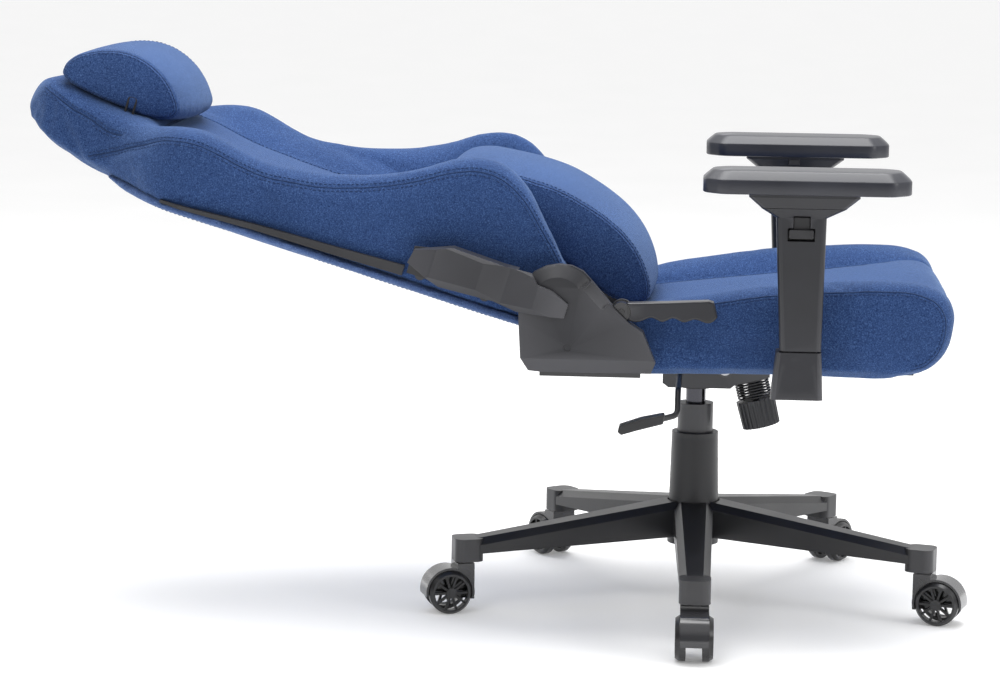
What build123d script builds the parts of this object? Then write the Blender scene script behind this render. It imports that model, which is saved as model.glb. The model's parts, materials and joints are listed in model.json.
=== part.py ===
from build123d import *
import os
from math import cos, radians, sin

# Gaming chair: five-star base on twin-wheel casters, gas column, tilt mechanism, bucket seat,
# reclining winged back with two cushions, and two height-adjustable arms.
# Frame: +X is forward, +Y is the sitter's left, +Z is up; the origin is on the floor under the
# column.  Lengths are in millimetres.  At rest the back is fully reclined, the column and the
# arms are at their lowest, and every caster trails outwards.

# ---------------------------------------------------------------- driving dimensions
GAP = 0.3                 # between soft parts and what they lie beside
RUN = 0.06                # radial clearance of a running fit

# Base star and casters
LEG_COUNT = 5
FIRST_LEG = -88.8         # direction of the first leg, in degrees from +X
STEM_REACH = 336.0        # column axis to caster stem
TIP_REACH = 350.0         # column axis to the end of a leg
LEG_END_LOW = 72.0
LEG_END_HIGH = 104.0
HUB_RADIUS = 36.0
HUB_LOW = 84.0
HUB_HIGH = 140.0
WHEEL_RADIUS = 30.0
WHEEL_INNER = 11.0        # caster's middle plane to a wheel's inner face
WHEEL_OUTER = 25.0
CASTER_TRAIL = 22.0       # stem axis to wheel axle
STEM_RADIUS = 5.5
STEM_LOW = 32.0
STEM_HIGH = 98.0
CASTER_TOP = 70.0
AXLE_RADIUS = 3.0

# Gas column
TUBE_RADIUS = 25.0
TUBE_WALL = 1.5
TUBE_LOW = 78.0
TUBE_HIGH = 284.0
INNER_RADIUS = 14.0
ROD_RADIUS = 5.0
CONE_LOW = 305.0
CONE_HIGH = 330.0
CONE_TOP_RADIUS = 12.8
BUTTON_RADIUS = 4.0
BUTTON_HIGH = 338.0
COVER_BOTTOM_RADIUS = 35.0
COVER_TOP_RADIUS = 32.5
COVER_HIGH = 243.0

# Tilt mechanism
TRAY_LOW = 315.0
TRAY_REAR = -46.0
SHEET = 3.0               # pressed steel of the mechanism
TRAY_HALF = 70.0
TILT_X = 40.0
TILT_Z = 343.0
TILT_PIN_RADIUS = 6.0
LEVER_X = -22.0
LEVER_Z = 338.0
LEVER_RADIUS = 4.0
KNOB_X = 74.0             # where the tension bolt crosses the mechanism's tongue
KNOB_Z = 330.0
KNOB_TILT = 14.0
SPRING_START = 4.0        # distances along the tension bolt, from the tongue down
SPRING_END = 40.0
KNOB_END = 79.0
KNOB_RADIUS = 27.5

# Seat
PLATE_LOW = 358.0
FRAME_LOW = 362.0
FRAME_TUBE = 20.0
RAIL_Y = 205.0            # middle of a side rail
SEAT_HALF = 250.0
SEAT_REAR = -122.0
WELL_HALF = 172.0         # half width between the bolsters
BRACKET_INNER = 256.0     # hinge plate of the seat, from the middle plane
BRACKET_SHEET = 5.0
ARM_SHEET = 6.0

# Reclining back: u runs up the back from the pivot and v out of its front
PIVOT_X = -182.0
PIVOT_Z = 458.0
RECLINE = 17.0            # elevation of the back at rest, in degrees
PIVOT_RADIUS = 6.0
BACK_ARM_INNER = 262.0
BACK_REAR = -43.0         # v of the cushion's rear face
PANEL_REAR = -57.0
CHANNEL_HALF = 172.0      # half width between the wings
LUMBAR_HALF = 165.0
LUMBAR_BASE = 32.0        # v of the lumbar pillow's underside
HEAD_PILLOW_HALF = 140.0

# Covers at the pivot
COVER_INNER = 269.0
COVER_OUTER = 292.0
SHELL = 2.5
ARC_RADIUS = 51.0
UPPER_INNER = 268.0
TIP_INNER = 293.0
UPPER_OUTER = 303.0

# Recline lever
LEVER_HUB_X = -98.0
LEVER_HUB_Z = 448.0

# Arms, given for the right-hand one: positions across the chair are distances from its middle
POST_X = 135.0
POST_Y = 300.0
BLADE_WIDTH = 34.0
GUIDE_LENGTH = 46.0
GUIDE_WIDTH = 28.0
COLLAR_LOW = 342.0
COLLAR_HIGH = 404.0
GUIDE_HIGH = 530.0
SLEEVE_LOW = 406.0
SLEEVE_HIGH = 580.0
HEAD_HIGH = 593.0
TRAY_BASE = 593.5
PAD_LOW = 611.0
PAD_HIGH = 641.0
PAD_X = 140.0
PAD_Y = 292.0
PAD_LENGTH = 270.0
PAD_WIDTH = 100.0
TRIGGER_Z = 578.0         # trigger's pivot
TRIGGER_Y = 315.0

# ---------------------------------------------------------------- planes and helpers
ALONG = (-cos(radians(RECLINE)), 0, sin(radians(RECLINE)))
OUT = (sin(radians(RECLINE)), 0, cos(radians(RECLINE)))
BOLT_ALONG = (sin(radians(KNOB_TILT)), 0, -cos(radians(KNOB_TILT)))
BOLT_ACROSS = (cos(radians(KNOB_TILT)), 0, sin(radians(KNOB_TILT)))
BACK_FRONT = Plane(origin=(PIVOT_X, 0, PIVOT_Z), x_dir=ALONG, z_dir=OUT)
BOLT = Plane(origin=(KNOB_X, 0, KNOB_Z), x_dir=BOLT_ACROSS, z_dir=BOLT_ALONG)


def side(distance):
    """Upright plane on the right-hand side: x forward, y up, facing outwards."""
    return Plane.XZ.offset(distance)


def back_side(y):
    """Upright plane in the back's own directions: x is u, y is v, facing the left-hand side."""
    return Plane(origin=(PIVOT_X, y, PIVOT_Z), x_dir=ALONG, z_dir=(0, 1, 0))


def right_back(outer):
    """The same plane on the right-hand side; extrusions from it run inwards."""
    return back_side(-outer)


def save(piece, name):
    """Label the piece and write it as one STEP file."""
    piece.part.label = name
    export_step(piece.part, f"parts/{name}.step")


def closed(points):
    """Fill a straight-sided outline in the sketch that is open."""
    Polygon(*points, align=None)


os.makedirs("parts", exist_ok=True)

# ---------------------------------------------------------------- base star
LEG_SECTIONS = [(30.0, 54.0, 97.0, 146.0), (318.0, 40.0, 83.0, 104.0)]
LEG_BEVEL = 9.0
LEG_WALL = 2.0


def leg_section(width, low, high, bevel):
    """Cross-section of a leg: a box with its top edges bevelled."""
    half = width / 2
    closed([(-half, low), (half, low), (half, high - bevel),
            (half - bevel, high), (bevel - half, high), (-half, high - bevel)])


with BuildPart() as leg:
    for reach, width, low, high in LEG_SECTIONS:
        with BuildSketch(Plane.YZ.offset(reach)):
            leg_section(width, low, high, LEG_BEVEL)
    loft()
    with BuildSketch(Plane.XY.offset(LEG_END_LOW)):
        with Locations(((310 + TIP_REACH) / 2, 0)):
            RectangleRounded(TIP_REACH - 310, 42, 12)
    extrude(amount=LEG_END_HIGH - LEG_END_LOW)
    # each leg is two pressings welded into a closed box, so it is hollow
    for reach, width, low, high in [(50.0, 52.0, 96.0, 142.0), (300.0, 41.0, 84.5, 106.0)]:
        with BuildSketch(Plane.YZ.offset(reach)):
            leg_section(width - 2 * LEG_WALL, low + LEG_WALL, high - LEG_WALL, LEG_BEVEL - 1)
    loft(mode=Mode.SUBTRACT)

with BuildPart() as base_star:
    with PolarLocations(0, LEG_COUNT, start_angle=FIRST_LEG):
        add(leg.part)
    with BuildSketch(Plane.XY.offset(HUB_LOW)):
        Circle(HUB_RADIUS)
    extrude(amount=HUB_HIGH - HUB_LOW)
    # the hub's taper socket for the column
    with BuildSketch(Plane.XY.offset(HUB_LOW - 1)):
        Circle(TUBE_RADIUS + RUN)
    extrude(amount=80, mode=Mode.SUBTRACT)
    # the recess round the column, where the cover stands on the hub
    with BuildSketch(Plane.XY.offset(HUB_HIGH)):
        Circle(HUB_RADIUS + 1)
    extrude(amount=20, mode=Mode.SUBTRACT)
    with PolarLocations(STEM_REACH, LEG_COUNT, start_angle=FIRST_LEG):
        with Locations((0, 0, LEG_END_LOW - 1)):
            Cylinder(STEM_RADIUS + RUN, STEM_HIGH - LEG_END_LOW + 1,
                     align=(Align.CENTER, Align.CENTER, Align.MIN), mode=Mode.SUBTRACT)
save(base_star, "base_star")

with BuildPart() as caster_stems:
    with PolarLocations(STEM_REACH, LEG_COUNT, start_angle=FIRST_LEG):
        with Locations((0, 0, STEM_LOW)):
            Cylinder(STEM_RADIUS, STEM_HIGH - STEM_LOW,
                     align=(Align.CENTER, Align.CENTER, Align.MIN))
        with Locations((0, 0, CASTER_TOP + 0.2)):
            Cylinder(8.0, LEG_END_LOW - CASTER_TOP - 0.2,
                     align=(Align.CENTER, Align.CENTER, Align.MIN))
save(caster_stems, "caster_stems")

# ---------------------------------------------------------------- casters
# Modelled with the floor under the stem as origin and x pointing the way the caster trails.
HOOD_RADIUS = 34.5
HOOD_HALF = 19.0
HOOD_WEB = 10.4
HOOD_LOW = 25.0
SPOKE_COUNT = 10

with BuildPart() as hood:
    with BuildSketch(Plane.XZ.offset(-HOOD_HALF)):
        with Locations((CASTER_TRAIL, WHEEL_RADIUS)):
            Circle(HOOD_RADIUS)
        with Locations((CASTER_TRAIL, HOOD_LOW - 50)):
            Rectangle(100, 100, mode=Mode.SUBTRACT)
        with Locations((0, (20 + CASTER_TOP) / 2)):
            Rectangle(24, CASTER_TOP - 20)
    extrude(amount=2 * HOOD_HALF)
    # room for the wheels on both sides of the web
    with BuildSketch(Plane.XZ.offset(HOOD_WEB)):
        with Locations((CASTER_TRAIL, WHEEL_RADIUS)):
            Circle(WHEEL_RADIUS + 1.2)
    extrude(amount=40, mode=Mode.SUBTRACT)
    with BuildSketch(Plane.XZ.offset(-HOOD_WEB)):
        with Locations((CASTER_TRAIL, WHEEL_RADIUS)):
            Circle(WHEEL_RADIUS + 1.2)
    extrude(amount=-40, mode=Mode.SUBTRACT)
    with Locations((0, 0, STEM_LOW - 2)):
        Cylinder(STEM_RADIUS + RUN, 60, align=(Align.CENTER, Align.CENTER, Align.MIN),
                 mode=Mode.SUBTRACT)
    with BuildSketch(Plane.XZ.offset(-HOOD_HALF)):
        with Locations((CASTER_TRAIL, WHEEL_RADIUS)):
            Circle(AXLE_RADIUS)
    extrude(amount=2 * HOOD_HALF, mode=Mode.SUBTRACT)

AXLE_HALF = WHEEL_OUTER - 1.8

with BuildPart() as axle:
    with BuildSketch(Plane.XZ.offset(-AXLE_HALF)):
        with Locations((CASTER_TRAIL, WHEEL_RADIUS)):
            Circle(AXLE_RADIUS)
    extrude(amount=2 * AXLE_HALF)

with BuildPart() as wheel:
    with BuildSketch(Plane.XY):
        closed([(25, WHEEL_INNER), (WHEEL_RADIUS, WHEEL_INNER), (WHEEL_RADIUS, 19.6),
                (26.5, WHEEL_OUTER), (23.5, WHEEL_OUTER), (25, 20)])
    revolve(axis=Axis.Y)
    with BuildSketch(Plane.XZ.offset(-WHEEL_INNER)):
        Circle(7.5)
    extrude(amount=WHEEL_INNER - WHEEL_OUTER)
    with BuildSketch(Plane.XZ.offset(-19)):
        with PolarLocations(0, SPOKE_COUNT):
            with Locations((15.2, 0)):
                Rectangle(20, 3.2)
    extrude(amount=-4.5)
    with BuildSketch(Plane.XZ.offset(-WHEEL_INNER)):
        Circle(AXLE_RADIUS + RUN)
    extrude(amount=WHEEL_INNER - WHEEL_OUTER + 1.5, mode=Mode.SUBTRACT)

for number in range(1, LEG_COUNT + 1):
    angle = FIRST_LEG + (number - 1) * 360 / LEG_COUNT
    stem = Location((STEM_REACH * cos(radians(angle)), STEM_REACH * sin(radians(angle)), 0),
                    (0, 0, angle))
    with BuildPart() as caster_hood:
        with Locations(stem):
            add(hood.part)
            add(axle.part)
    save(caster_hood, f"caster_{number}_hood")
    with BuildPart() as left_wheel:
        with Locations(stem * Location((CASTER_TRAIL, 0, WHEEL_RADIUS))):
            add(wheel.part)
    save(left_wheel, f"caster_{number}_left_wheel")
    with BuildPart() as right_wheel:
        with Locations(stem * Location((CASTER_TRAIL, 0, WHEEL_RADIUS), (0, 0, 180))):
            add(wheel.part)
    save(right_wheel, f"caster_{number}_right_wheel")

# ---------------------------------------------------------------- gas column
with BuildPart() as gas_outer_tube:
    with BuildSketch(Plane.XZ):
        closed([(ROD_RADIUS + RUN, TUBE_LOW), (TUBE_RADIUS, TUBE_LOW), (TUBE_RADIUS, TUBE_HIGH),
                (TUBE_RADIUS - TUBE_WALL, TUBE_HIGH), (TUBE_RADIUS - TUBE_WALL, TUBE_LOW + 3),
                (ROD_RADIUS + RUN, TUBE_LOW + 3)])
    revolve(axis=Axis.Z)
    # the guide bush that the inner tube slides in
    with BuildSketch(Plane.XY.offset(240)):
        Circle(TUBE_RADIUS - TUBE_WALL - 0.02)
        Circle(INNER_RADIUS + RUN, mode=Mode.SUBTRACT)
    extrude(amount=TUBE_HIGH - 240)
save(gas_outer_tube, "gas_outer_tube")

with BuildPart() as column_cover:
    with BuildSketch(Plane.XZ):
        closed([(COVER_BOTTOM_RADIUS - 2, HUB_HIGH), (COVER_BOTTOM_RADIUS, HUB_HIGH),
                (COVER_TOP_RADIUS, COVER_HIGH), (TUBE_RADIUS + 0.5, COVER_HIGH),
                (TUBE_RADIUS + 0.5, COVER_HIGH - 2), (COVER_TOP_RADIUS - 2, COVER_HIGH - 2)])
    revolve(axis=Axis.Z)
save(column_cover, "column_cover")

with BuildPart() as piston_rod:
    with BuildSketch(Plane.XZ):
        closed([(0, 74), (9, 74), (9, TUBE_LOW - 0.2), (ROD_RADIUS, TUBE_LOW - 0.2),
                (ROD_RADIUS, 196), (INNER_RADIUS - 3 - RUN, 196), (INNER_RADIUS - 3 - RUN, 206),
                (0, 206)])
    revolve(axis=Axis.Z)
save(piston_rod, "piston_rod")

with BuildPart() as gas_inner_tube:
    with BuildSketch(Plane.XZ):
        closed([(ROD_RADIUS + RUN, 105), (INNER_RADIUS, 105), (INNER_RADIUS, CONE_LOW),
                (CONE_TOP_RADIUS, CONE_HIGH), (BUTTON_RADIUS + RUN, CONE_HIGH),
                (BUTTON_RADIUS + RUN, CONE_HIGH - 12), (0, CONE_HIGH - 12), (0, CONE_LOW),
                (INNER_RADIUS - 3, CONE_LOW), (INNER_RADIUS - 3, 109), (ROD_RADIUS + RUN, 109)])
    revolve(axis=Axis.Z)
save(gas_inner_tube, "gas_inner_tube")

with BuildPart() as gas_button:
    with BuildSketch(Plane.XY.offset(CONE_HIGH - 7)):
        Circle(BUTTON_RADIUS)
    extrude(amount=BUTTON_HIGH - CONE_HIGH + 7)
save(gas_button, "gas_button")

# ---------------------------------------------------------------- tilt mechanism
EAR_RADIUS = 11.0

with BuildPart() as tilt_housing:
    # two side walls, joined by a floor that turns up into the tongue under the seat's front
    with BuildSketch(side(TRAY_HALF - SHEET)):
        closed([(TRAY_REAR, TRAY_LOW + 6), (TRAY_REAR + 8, TRAY_LOW), (48, TRAY_LOW), (54, 320),
                (102, 332), (102, 349), (20, 349), (TRAY_REAR, 338)])
        with Locations((TILT_X, TILT_Z)):
            Circle(EAR_RADIUS)
            Circle(TILT_PIN_RADIUS + 0.02, mode=Mode.SUBTRACT)
        with Locations((LEVER_X, LEVER_Z)):
            Circle(LEVER_RADIUS + 5)
            Circle(LEVER_RADIUS + RUN, mode=Mode.SUBTRACT)
    extrude(amount=SHEET)
    mirror(about=Plane.XZ)
    with BuildSketch(Plane.XY.offset(TRAY_LOW)):
        with Locations(((TRAY_REAR + 8 + 48) / 2, 0)):
            Rectangle(40 - TRAY_REAR, 2 * TRAY_HALF - SHEET)
    extrude(amount=SHEET)
    with BuildSketch(BOLT):
        Rectangle(52, 2 * TRAY_HALF - SHEET)
        Circle(10, mode=Mode.SUBTRACT)
    extrude(amount=SPRING_START)
    # the boss that stands on the column's cone
    with BuildSketch(Plane.XY.offset(306)):
        Circle(24)
    extrude(amount=CONE_HIGH + 1 - 306)
    with BuildSketch(Plane.XZ):
        closed([(0, CONE_LOW), (INNER_RADIUS + RUN, CONE_LOW), (CONE_TOP_RADIUS + RUN, CONE_HIGH),
                (CONE_TOP_RADIUS + RUN, CONE_HIGH + 2), (0, CONE_HIGH + 2)])
    revolve(axis=Axis.Z, mode=Mode.SUBTRACT)
save(tilt_housing, "tilt_housing")

with BuildPart() as tilt_pin:
    with BuildSketch(side(-77)):
        with Locations((TILT_X, TILT_Z)):
            Circle(TILT_PIN_RADIUS)
    extrude(amount=154)
    with BuildSketch(side(75.4)):
        with Locations((TILT_X, TILT_Z)):
            Circle(8.5)
    extrude(amount=2.6)
    mirror(about=Plane.XZ)
save(tilt_pin, "tilt_pin")

SPRING_WIRE = 1.6
SPRING_PITCH = 3.9

with BuildPart() as tension_spring:
    with BuildLine():
        coil = Helix(pitch=SPRING_PITCH, height=SPRING_END - SPRING_START - 2 * SPRING_WIRE - 2 * GAP,
                     radius=24.5 - SPRING_WIRE,
                     center=BOLT.offset(SPRING_START + SPRING_WIRE + GAP).origin,
                     direction=BOLT_ALONG)
    with BuildSketch(Plane(origin=coil @ 0, z_dir=coil % 0)):
        Circle(SPRING_WIRE)
    sweep()
save(tension_spring, "tension_spring")

with BuildPart() as tension_knob:
    with BuildSketch(BOLT.offset(SPRING_END)):
        Circle(KNOB_RADIUS)
        with PolarLocations(KNOB_RADIUS + 1.2, 24):
            Circle(2.4, mode=Mode.SUBTRACT)
    extrude(amount=KNOB_END - SPRING_END, taper=1.5)
    with BuildSketch(BOLT.offset(SPRING_END - 1)):
        Circle(5 + RUN)
    extrude(amount=37, mode=Mode.SUBTRACT)
save(tension_knob, "tension_knob")

# Lever that works the column's button; it is pulled outwards to free the tilt.
with BuildPart() as lock_collar:
    with BuildSketch(side(38)):
        with Locations((LEVER_X, LEVER_Z)):
            Circle(6.5)
            Circle(LEVER_RADIUS + RUN, mode=Mode.SUBTRACT)
    extrude(amount=12)
save(lock_collar, "lock_collar")

LEVER_BEND_Y = -238.0
LEVER_PATH = [(LEVER_X, 60, LEVER_Z), (LEVER_X, LEVER_BEND_Y, LEVER_Z), (-22, -262, 309),
              (-52, -280, 303)]

with BuildPart() as lever_rod:
    with BuildLine():
        FilletPolyline(*LEVER_PATH, radius=12)
    with BuildSketch(Plane(origin=LEVER_PATH[0], z_dir=(0, -1, 0))):
        Circle(LEVER_RADIUS)
    sweep()
    # shoulders that hold the lock collar, and the tab that presses the gas button
    for start in (35.5, 50.2):
        with BuildSketch(side(start)):
            with Locations((LEVER_X, LEVER_Z)):
                Circle(5.4)
        extrude(amount=2.3)
    with Locations((LEVER_X / 2 + 2, 3, BUTTON_HIGH + 0.2)):
        Box(4 - LEVER_X, 34, 3, align=(Align.CENTER, Align.CENTER, Align.MIN))
save(lever_rod, "lever_rod")

with BuildPart() as lever_grip:
    with BuildSketch(side(269)):
        closed([(-38, 314), (-40, 301), (-76, 291), (-95, 285), (-100, 289), (-98, 297),
                (-70, 307)])
        fillet(vertices(), 2.5)
    extrude(amount=24)
    fillet(faces().filter_by(Axis.Y).edges(), 2)
    add(lever_rod.part, mode=Mode.SUBTRACT)
save(lever_grip, "lever_grip")

# ---------------------------------------------------------------- seat structure
PLATE_TOP = FRAME_LOW
FRAME_TOP = FRAME_LOW + FRAME_TUBE
MID_BARS = (-38.0, 100.0)
PLATE_REAR = -54.0
PLATE_FRONT = 130.0
BAR_ENDS = (-178.0, 280.0)
PLATE_BOLT_Y = 90.0
ARM_BOLTS = (120.0, 150.0)
HINGE_BOLTS = (-180.0, -140.0)
BOLT_SHANK = 3.9
TUBE_WALL_STEEL = 2.0
# where the seat frame's tubes are hollow, clear of the bolts, from and to along each tube
RAIL_HOLLOWS = [(-120, 100), (170, 262)]
END_BAR_HOLLOWS = [(-190, 190)]
MID_BAR_HOLLOWS = [(-190, -105), (-75, 75), (105, 190)]

with BuildPart() as seat_plate:
    with BuildSketch(Plane.XY.offset(PLATE_LOW)):
        with Locations(((PLATE_REAR + PLATE_FRONT) / 2, 0)):
            RectangleRounded(PLATE_FRONT - PLATE_REAR, 220, 12)
        with Locations([(x, y) for x in MID_BARS for y in (-PLATE_BOLT_Y, PLATE_BOLT_Y)]):
            Circle(BOLT_SHANK + RUN, mode=Mode.SUBTRACT)
    extrude(amount=PLATE_TOP - PLATE_LOW)
    with BuildSketch(side(TRAY_HALF + 1.5)):
        with Locations((TILT_X, TILT_Z)):
            Circle(12)
        with Locations((TILT_X, (TILT_Z + PLATE_LOW) / 2)):
            Rectangle(24, PLATE_LOW - TILT_Z)
        with Locations((TILT_X, TILT_Z)):
            Circle(TILT_PIN_RADIUS + RUN, mode=Mode.SUBTRACT)
    extrude(amount=SHEET)
    mirror(about=Plane.XZ)
    with BuildSketch(BOLT.offset(-40)):
        Circle(5.3)
    extrude(amount=20, mode=Mode.SUBTRACT)
save(seat_plate, "seat_plate")

with BuildPart() as seat_frame:
    with BuildSketch(Plane.XY.offset(FRAME_LOW)):
        with Locations((50, -RAIL_Y), (50, RAIL_Y)):
            Rectangle(480, FRAME_TUBE)
        with Locations([(x, 0) for x in BAR_ENDS + MID_BARS]):
            Rectangle(FRAME_TUBE, 2 * RAIL_Y)
    extrude(amount=FRAME_TUBE)
    with Locations([(x, y, FRAME_LOW) for x in MID_BARS for y in (-PLATE_BOLT_Y, PLATE_BOLT_Y)]
                   + [(x, y, FRAME_LOW) for x in ARM_BOLTS + HINGE_BOLTS
                      for y in (-RAIL_Y, RAIL_Y)]):
        Cylinder(BOLT_SHANK + RUN, 14, align=(Align.CENTER, Align.CENTER, Align.MIN),
                 mode=Mode.SUBTRACT)
    bore = FRAME_TUBE - 2 * TUBE_WALL_STEEL
    with BuildSketch(Plane.XY.offset(FRAME_LOW + TUBE_WALL_STEEL)):
        for start, end in RAIL_HOLLOWS:
            with Locations([((start + end) / 2, y) for y in (-RAIL_Y, RAIL_Y)]):
                Rectangle(end - start, bore)
        for bars, hollows in ((BAR_ENDS, END_BAR_HOLLOWS), (MID_BARS, MID_BAR_HOLLOWS)):
            for start, end in hollows:
                with Locations([(x, (start + end) / 2) for x in bars]):
                    Rectangle(bore, end - start)
    extrude(amount=bore, mode=Mode.SUBTRACT)
save(seat_frame, "seat_frame")


def bolt(x, y, underside):
    """Bolt whose head lies under a plate with this underside, its shank reaching the frame."""
    with Locations((x, y, underside)):
        Cylinder(BOLT_SHANK, FRAME_LOW + 12 - underside,
                 align=(Align.CENTER, Align.CENTER, Align.MIN))
        Cylinder(6.5, 4.5, align=(Align.CENTER, Align.CENTER, Align.MAX))


with BuildPart() as seat_bolts:
    for y in (-PLATE_BOLT_Y, PLATE_BOLT_Y):
        for x in MID_BARS:
            bolt(x, y, PLATE_LOW)
    for y in (-RAIL_Y, RAIL_Y):
        for x in ARM_BOLTS:
            bolt(x, y, FRAME_LOW - ARM_SHEET)
        for x in HINGE_BOLTS:
            bolt(x, y, FRAME_LOW - BRACKET_SHEET)
    # the long bolt of the tilt tension, its head on the seat plate
    with BuildSketch(BOLT.offset(-38)):
        Circle(5)
    extrude(amount=38 + 76)
    with BuildSketch(BOLT.offset(-40)):
        Circle(9)
    extrude(amount=4)
save(seat_bolts, "seat_bolts")

# Hinge plates of the seat: an upright sheet with a flange that runs in under the side rail.
with BuildPart() as hinge_brackets:
    with BuildSketch(side(BRACKET_INNER)):
        closed([(-206, FRAME_LOW - BRACKET_SHEET), (-72, FRAME_LOW - BRACKET_SHEET), (-72, 420),
                (-90, 431), (-113, 454), (-128, 466), (-160, 476), (-206, 458)])
        with Locations((PIVOT_X, PIVOT_Z)):
            Circle(24)
            Circle(PIVOT_RADIUS + 0.02, mode=Mode.SUBTRACT)
        with Locations((LEVER_HUB_X, LEVER_HUB_Z)):
            Circle(14)
            Circle(4.02, mode=Mode.SUBTRACT)
    extrude(amount=BRACKET_SHEET)
    with BuildSketch(Plane.XY.offset(FRAME_LOW - BRACKET_SHEET)):
        with Locations((-160, -(RAIL_Y - 10 + BRACKET_INNER + 1) / 2)):
            Rectangle(80, BRACKET_INNER + 1 - RAIL_Y + 10)
        with Locations([(x, -RAIL_Y) for x in HINGE_BOLTS]):
            Circle(BOLT_SHANK + RUN, mode=Mode.SUBTRACT)
    extrude(amount=BRACKET_SHEET)
    mirror(about=Plane.XZ)
save(hinge_brackets, "hinge_brackets")

with BuildPart() as pivot_pins:
    for x, z, radius, inner, outer in [(PIVOT_X, PIVOT_Z, PIVOT_RADIUS, 254, 268),
                                       (PIVOT_X, PIVOT_Z, 10.0, 251.5, 255.9),
                                       (PIVOT_X, PIVOT_Z, 10.0, 267.2, 271.0)]:
        with BuildSketch(side(inner)):
            with Locations((x, z)):
                Circle(radius)
        extrude(amount=outer - inner)
    mirror(about=Plane.XZ)
    # the recline lever's own pin, on the right-hand side only
    for radius, inner, outer in [(4.0, 254, 286), (7.0, 252.5, 255.9)]:
        with BuildSketch(side(inner)):
            with Locations((LEVER_HUB_X, LEVER_HUB_Z)):
                Circle(radius)
        extrude(amount=outer - inner)
save(pivot_pins, "pivot_pins")

# ---------------------------------------------------------------- seat cushion
BOLSTER_TOP = [(SEAT_REAR, 436), (-62, 455), (24, 470), (105, 483), (187, 489), (250, 491),
               (302, 486), (331, 472), (343, 448), (337, 405), (318, 377), (275, 363)]
WELL_FLOOR = [(SEAT_REAR - 5, 419), (-93, 423), (-60, 428), (111, 446), (185, 454), (250, 463),
              (305, 474), (360, 470)]
POCKET_HALF = 218.0

with BuildPart() as seat_cushion:
    with BuildSketch(side(-SEAT_HALF)):
        with BuildLine():
            Spline(*BOLSTER_TOP)
            Polyline(BOLSTER_TOP[-1], (270, 362.3), (SEAT_REAR, 362.3), BOLSTER_TOP[0])
        make_face()
    extrude(amount=2 * SEAT_HALF)
    # the well between the bolsters
    with BuildSketch(side(-WELL_HALF)):
        with BuildLine():
            Spline(*WELL_FLOOR)
            Polyline(WELL_FLOOR[-1], (360, 520), (SEAT_REAR - 5, 520), WELL_FLOOR[0])
        make_face()
    extrude(amount=2 * WELL_HALF, mode=Mode.SUBTRACT)
    # the frame is let into the underside
    with BuildSketch(Plane.XY.offset(FRAME_LOW - 1)):
        with Locations(((SEAT_REAR + 293) / 2 - 5, 0)):
            Rectangle(293 - SEAT_REAR + 10, 2 * POCKET_HALF)
    extrude(amount=FRAME_TOP + 2 - FRAME_LOW + 1, mode=Mode.SUBTRACT)
save(seat_cushion, "seat_cushion")

# ---------------------------------------------------------------- covers at the pivot
LOWER_OUTLINE = [(-181, 509), (-198, 506), (-214, 498), (-226, 484), (-233, 463), (-233, 436),
                 (-230, 385), (-220, 367), (-199, 365), (-58, 366), (-52, 381), (-69, 422),
                 (-87, 434), (-113, 459), (-136, 486), (-149, 500), (-164, 507)]
BEVEL_DEPTH = 12.0
ARC_START = 140.0         # where the arc's bevel begins, in degrees from +X
EDGE_RUN = (0.686, 0, -0.728)    # direction of the straight edge in front of the arc
ARC_PLANE = Plane(origin=(PIVOT_X, 0, PIVOT_Z), x_dir=(0, -1, 0),
                  z_dir=(-sin(radians(ARC_START)), 0, cos(radians(ARC_START))))
EDGE_PLANE = Plane(origin=(-137, 0, 487), x_dir=(0, -1, 0), z_dir=EDGE_RUN)
STANDOFFS = [(-212, 385), (-85, 385), (-95, 410)]
SCREW = (-168, 400)

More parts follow.
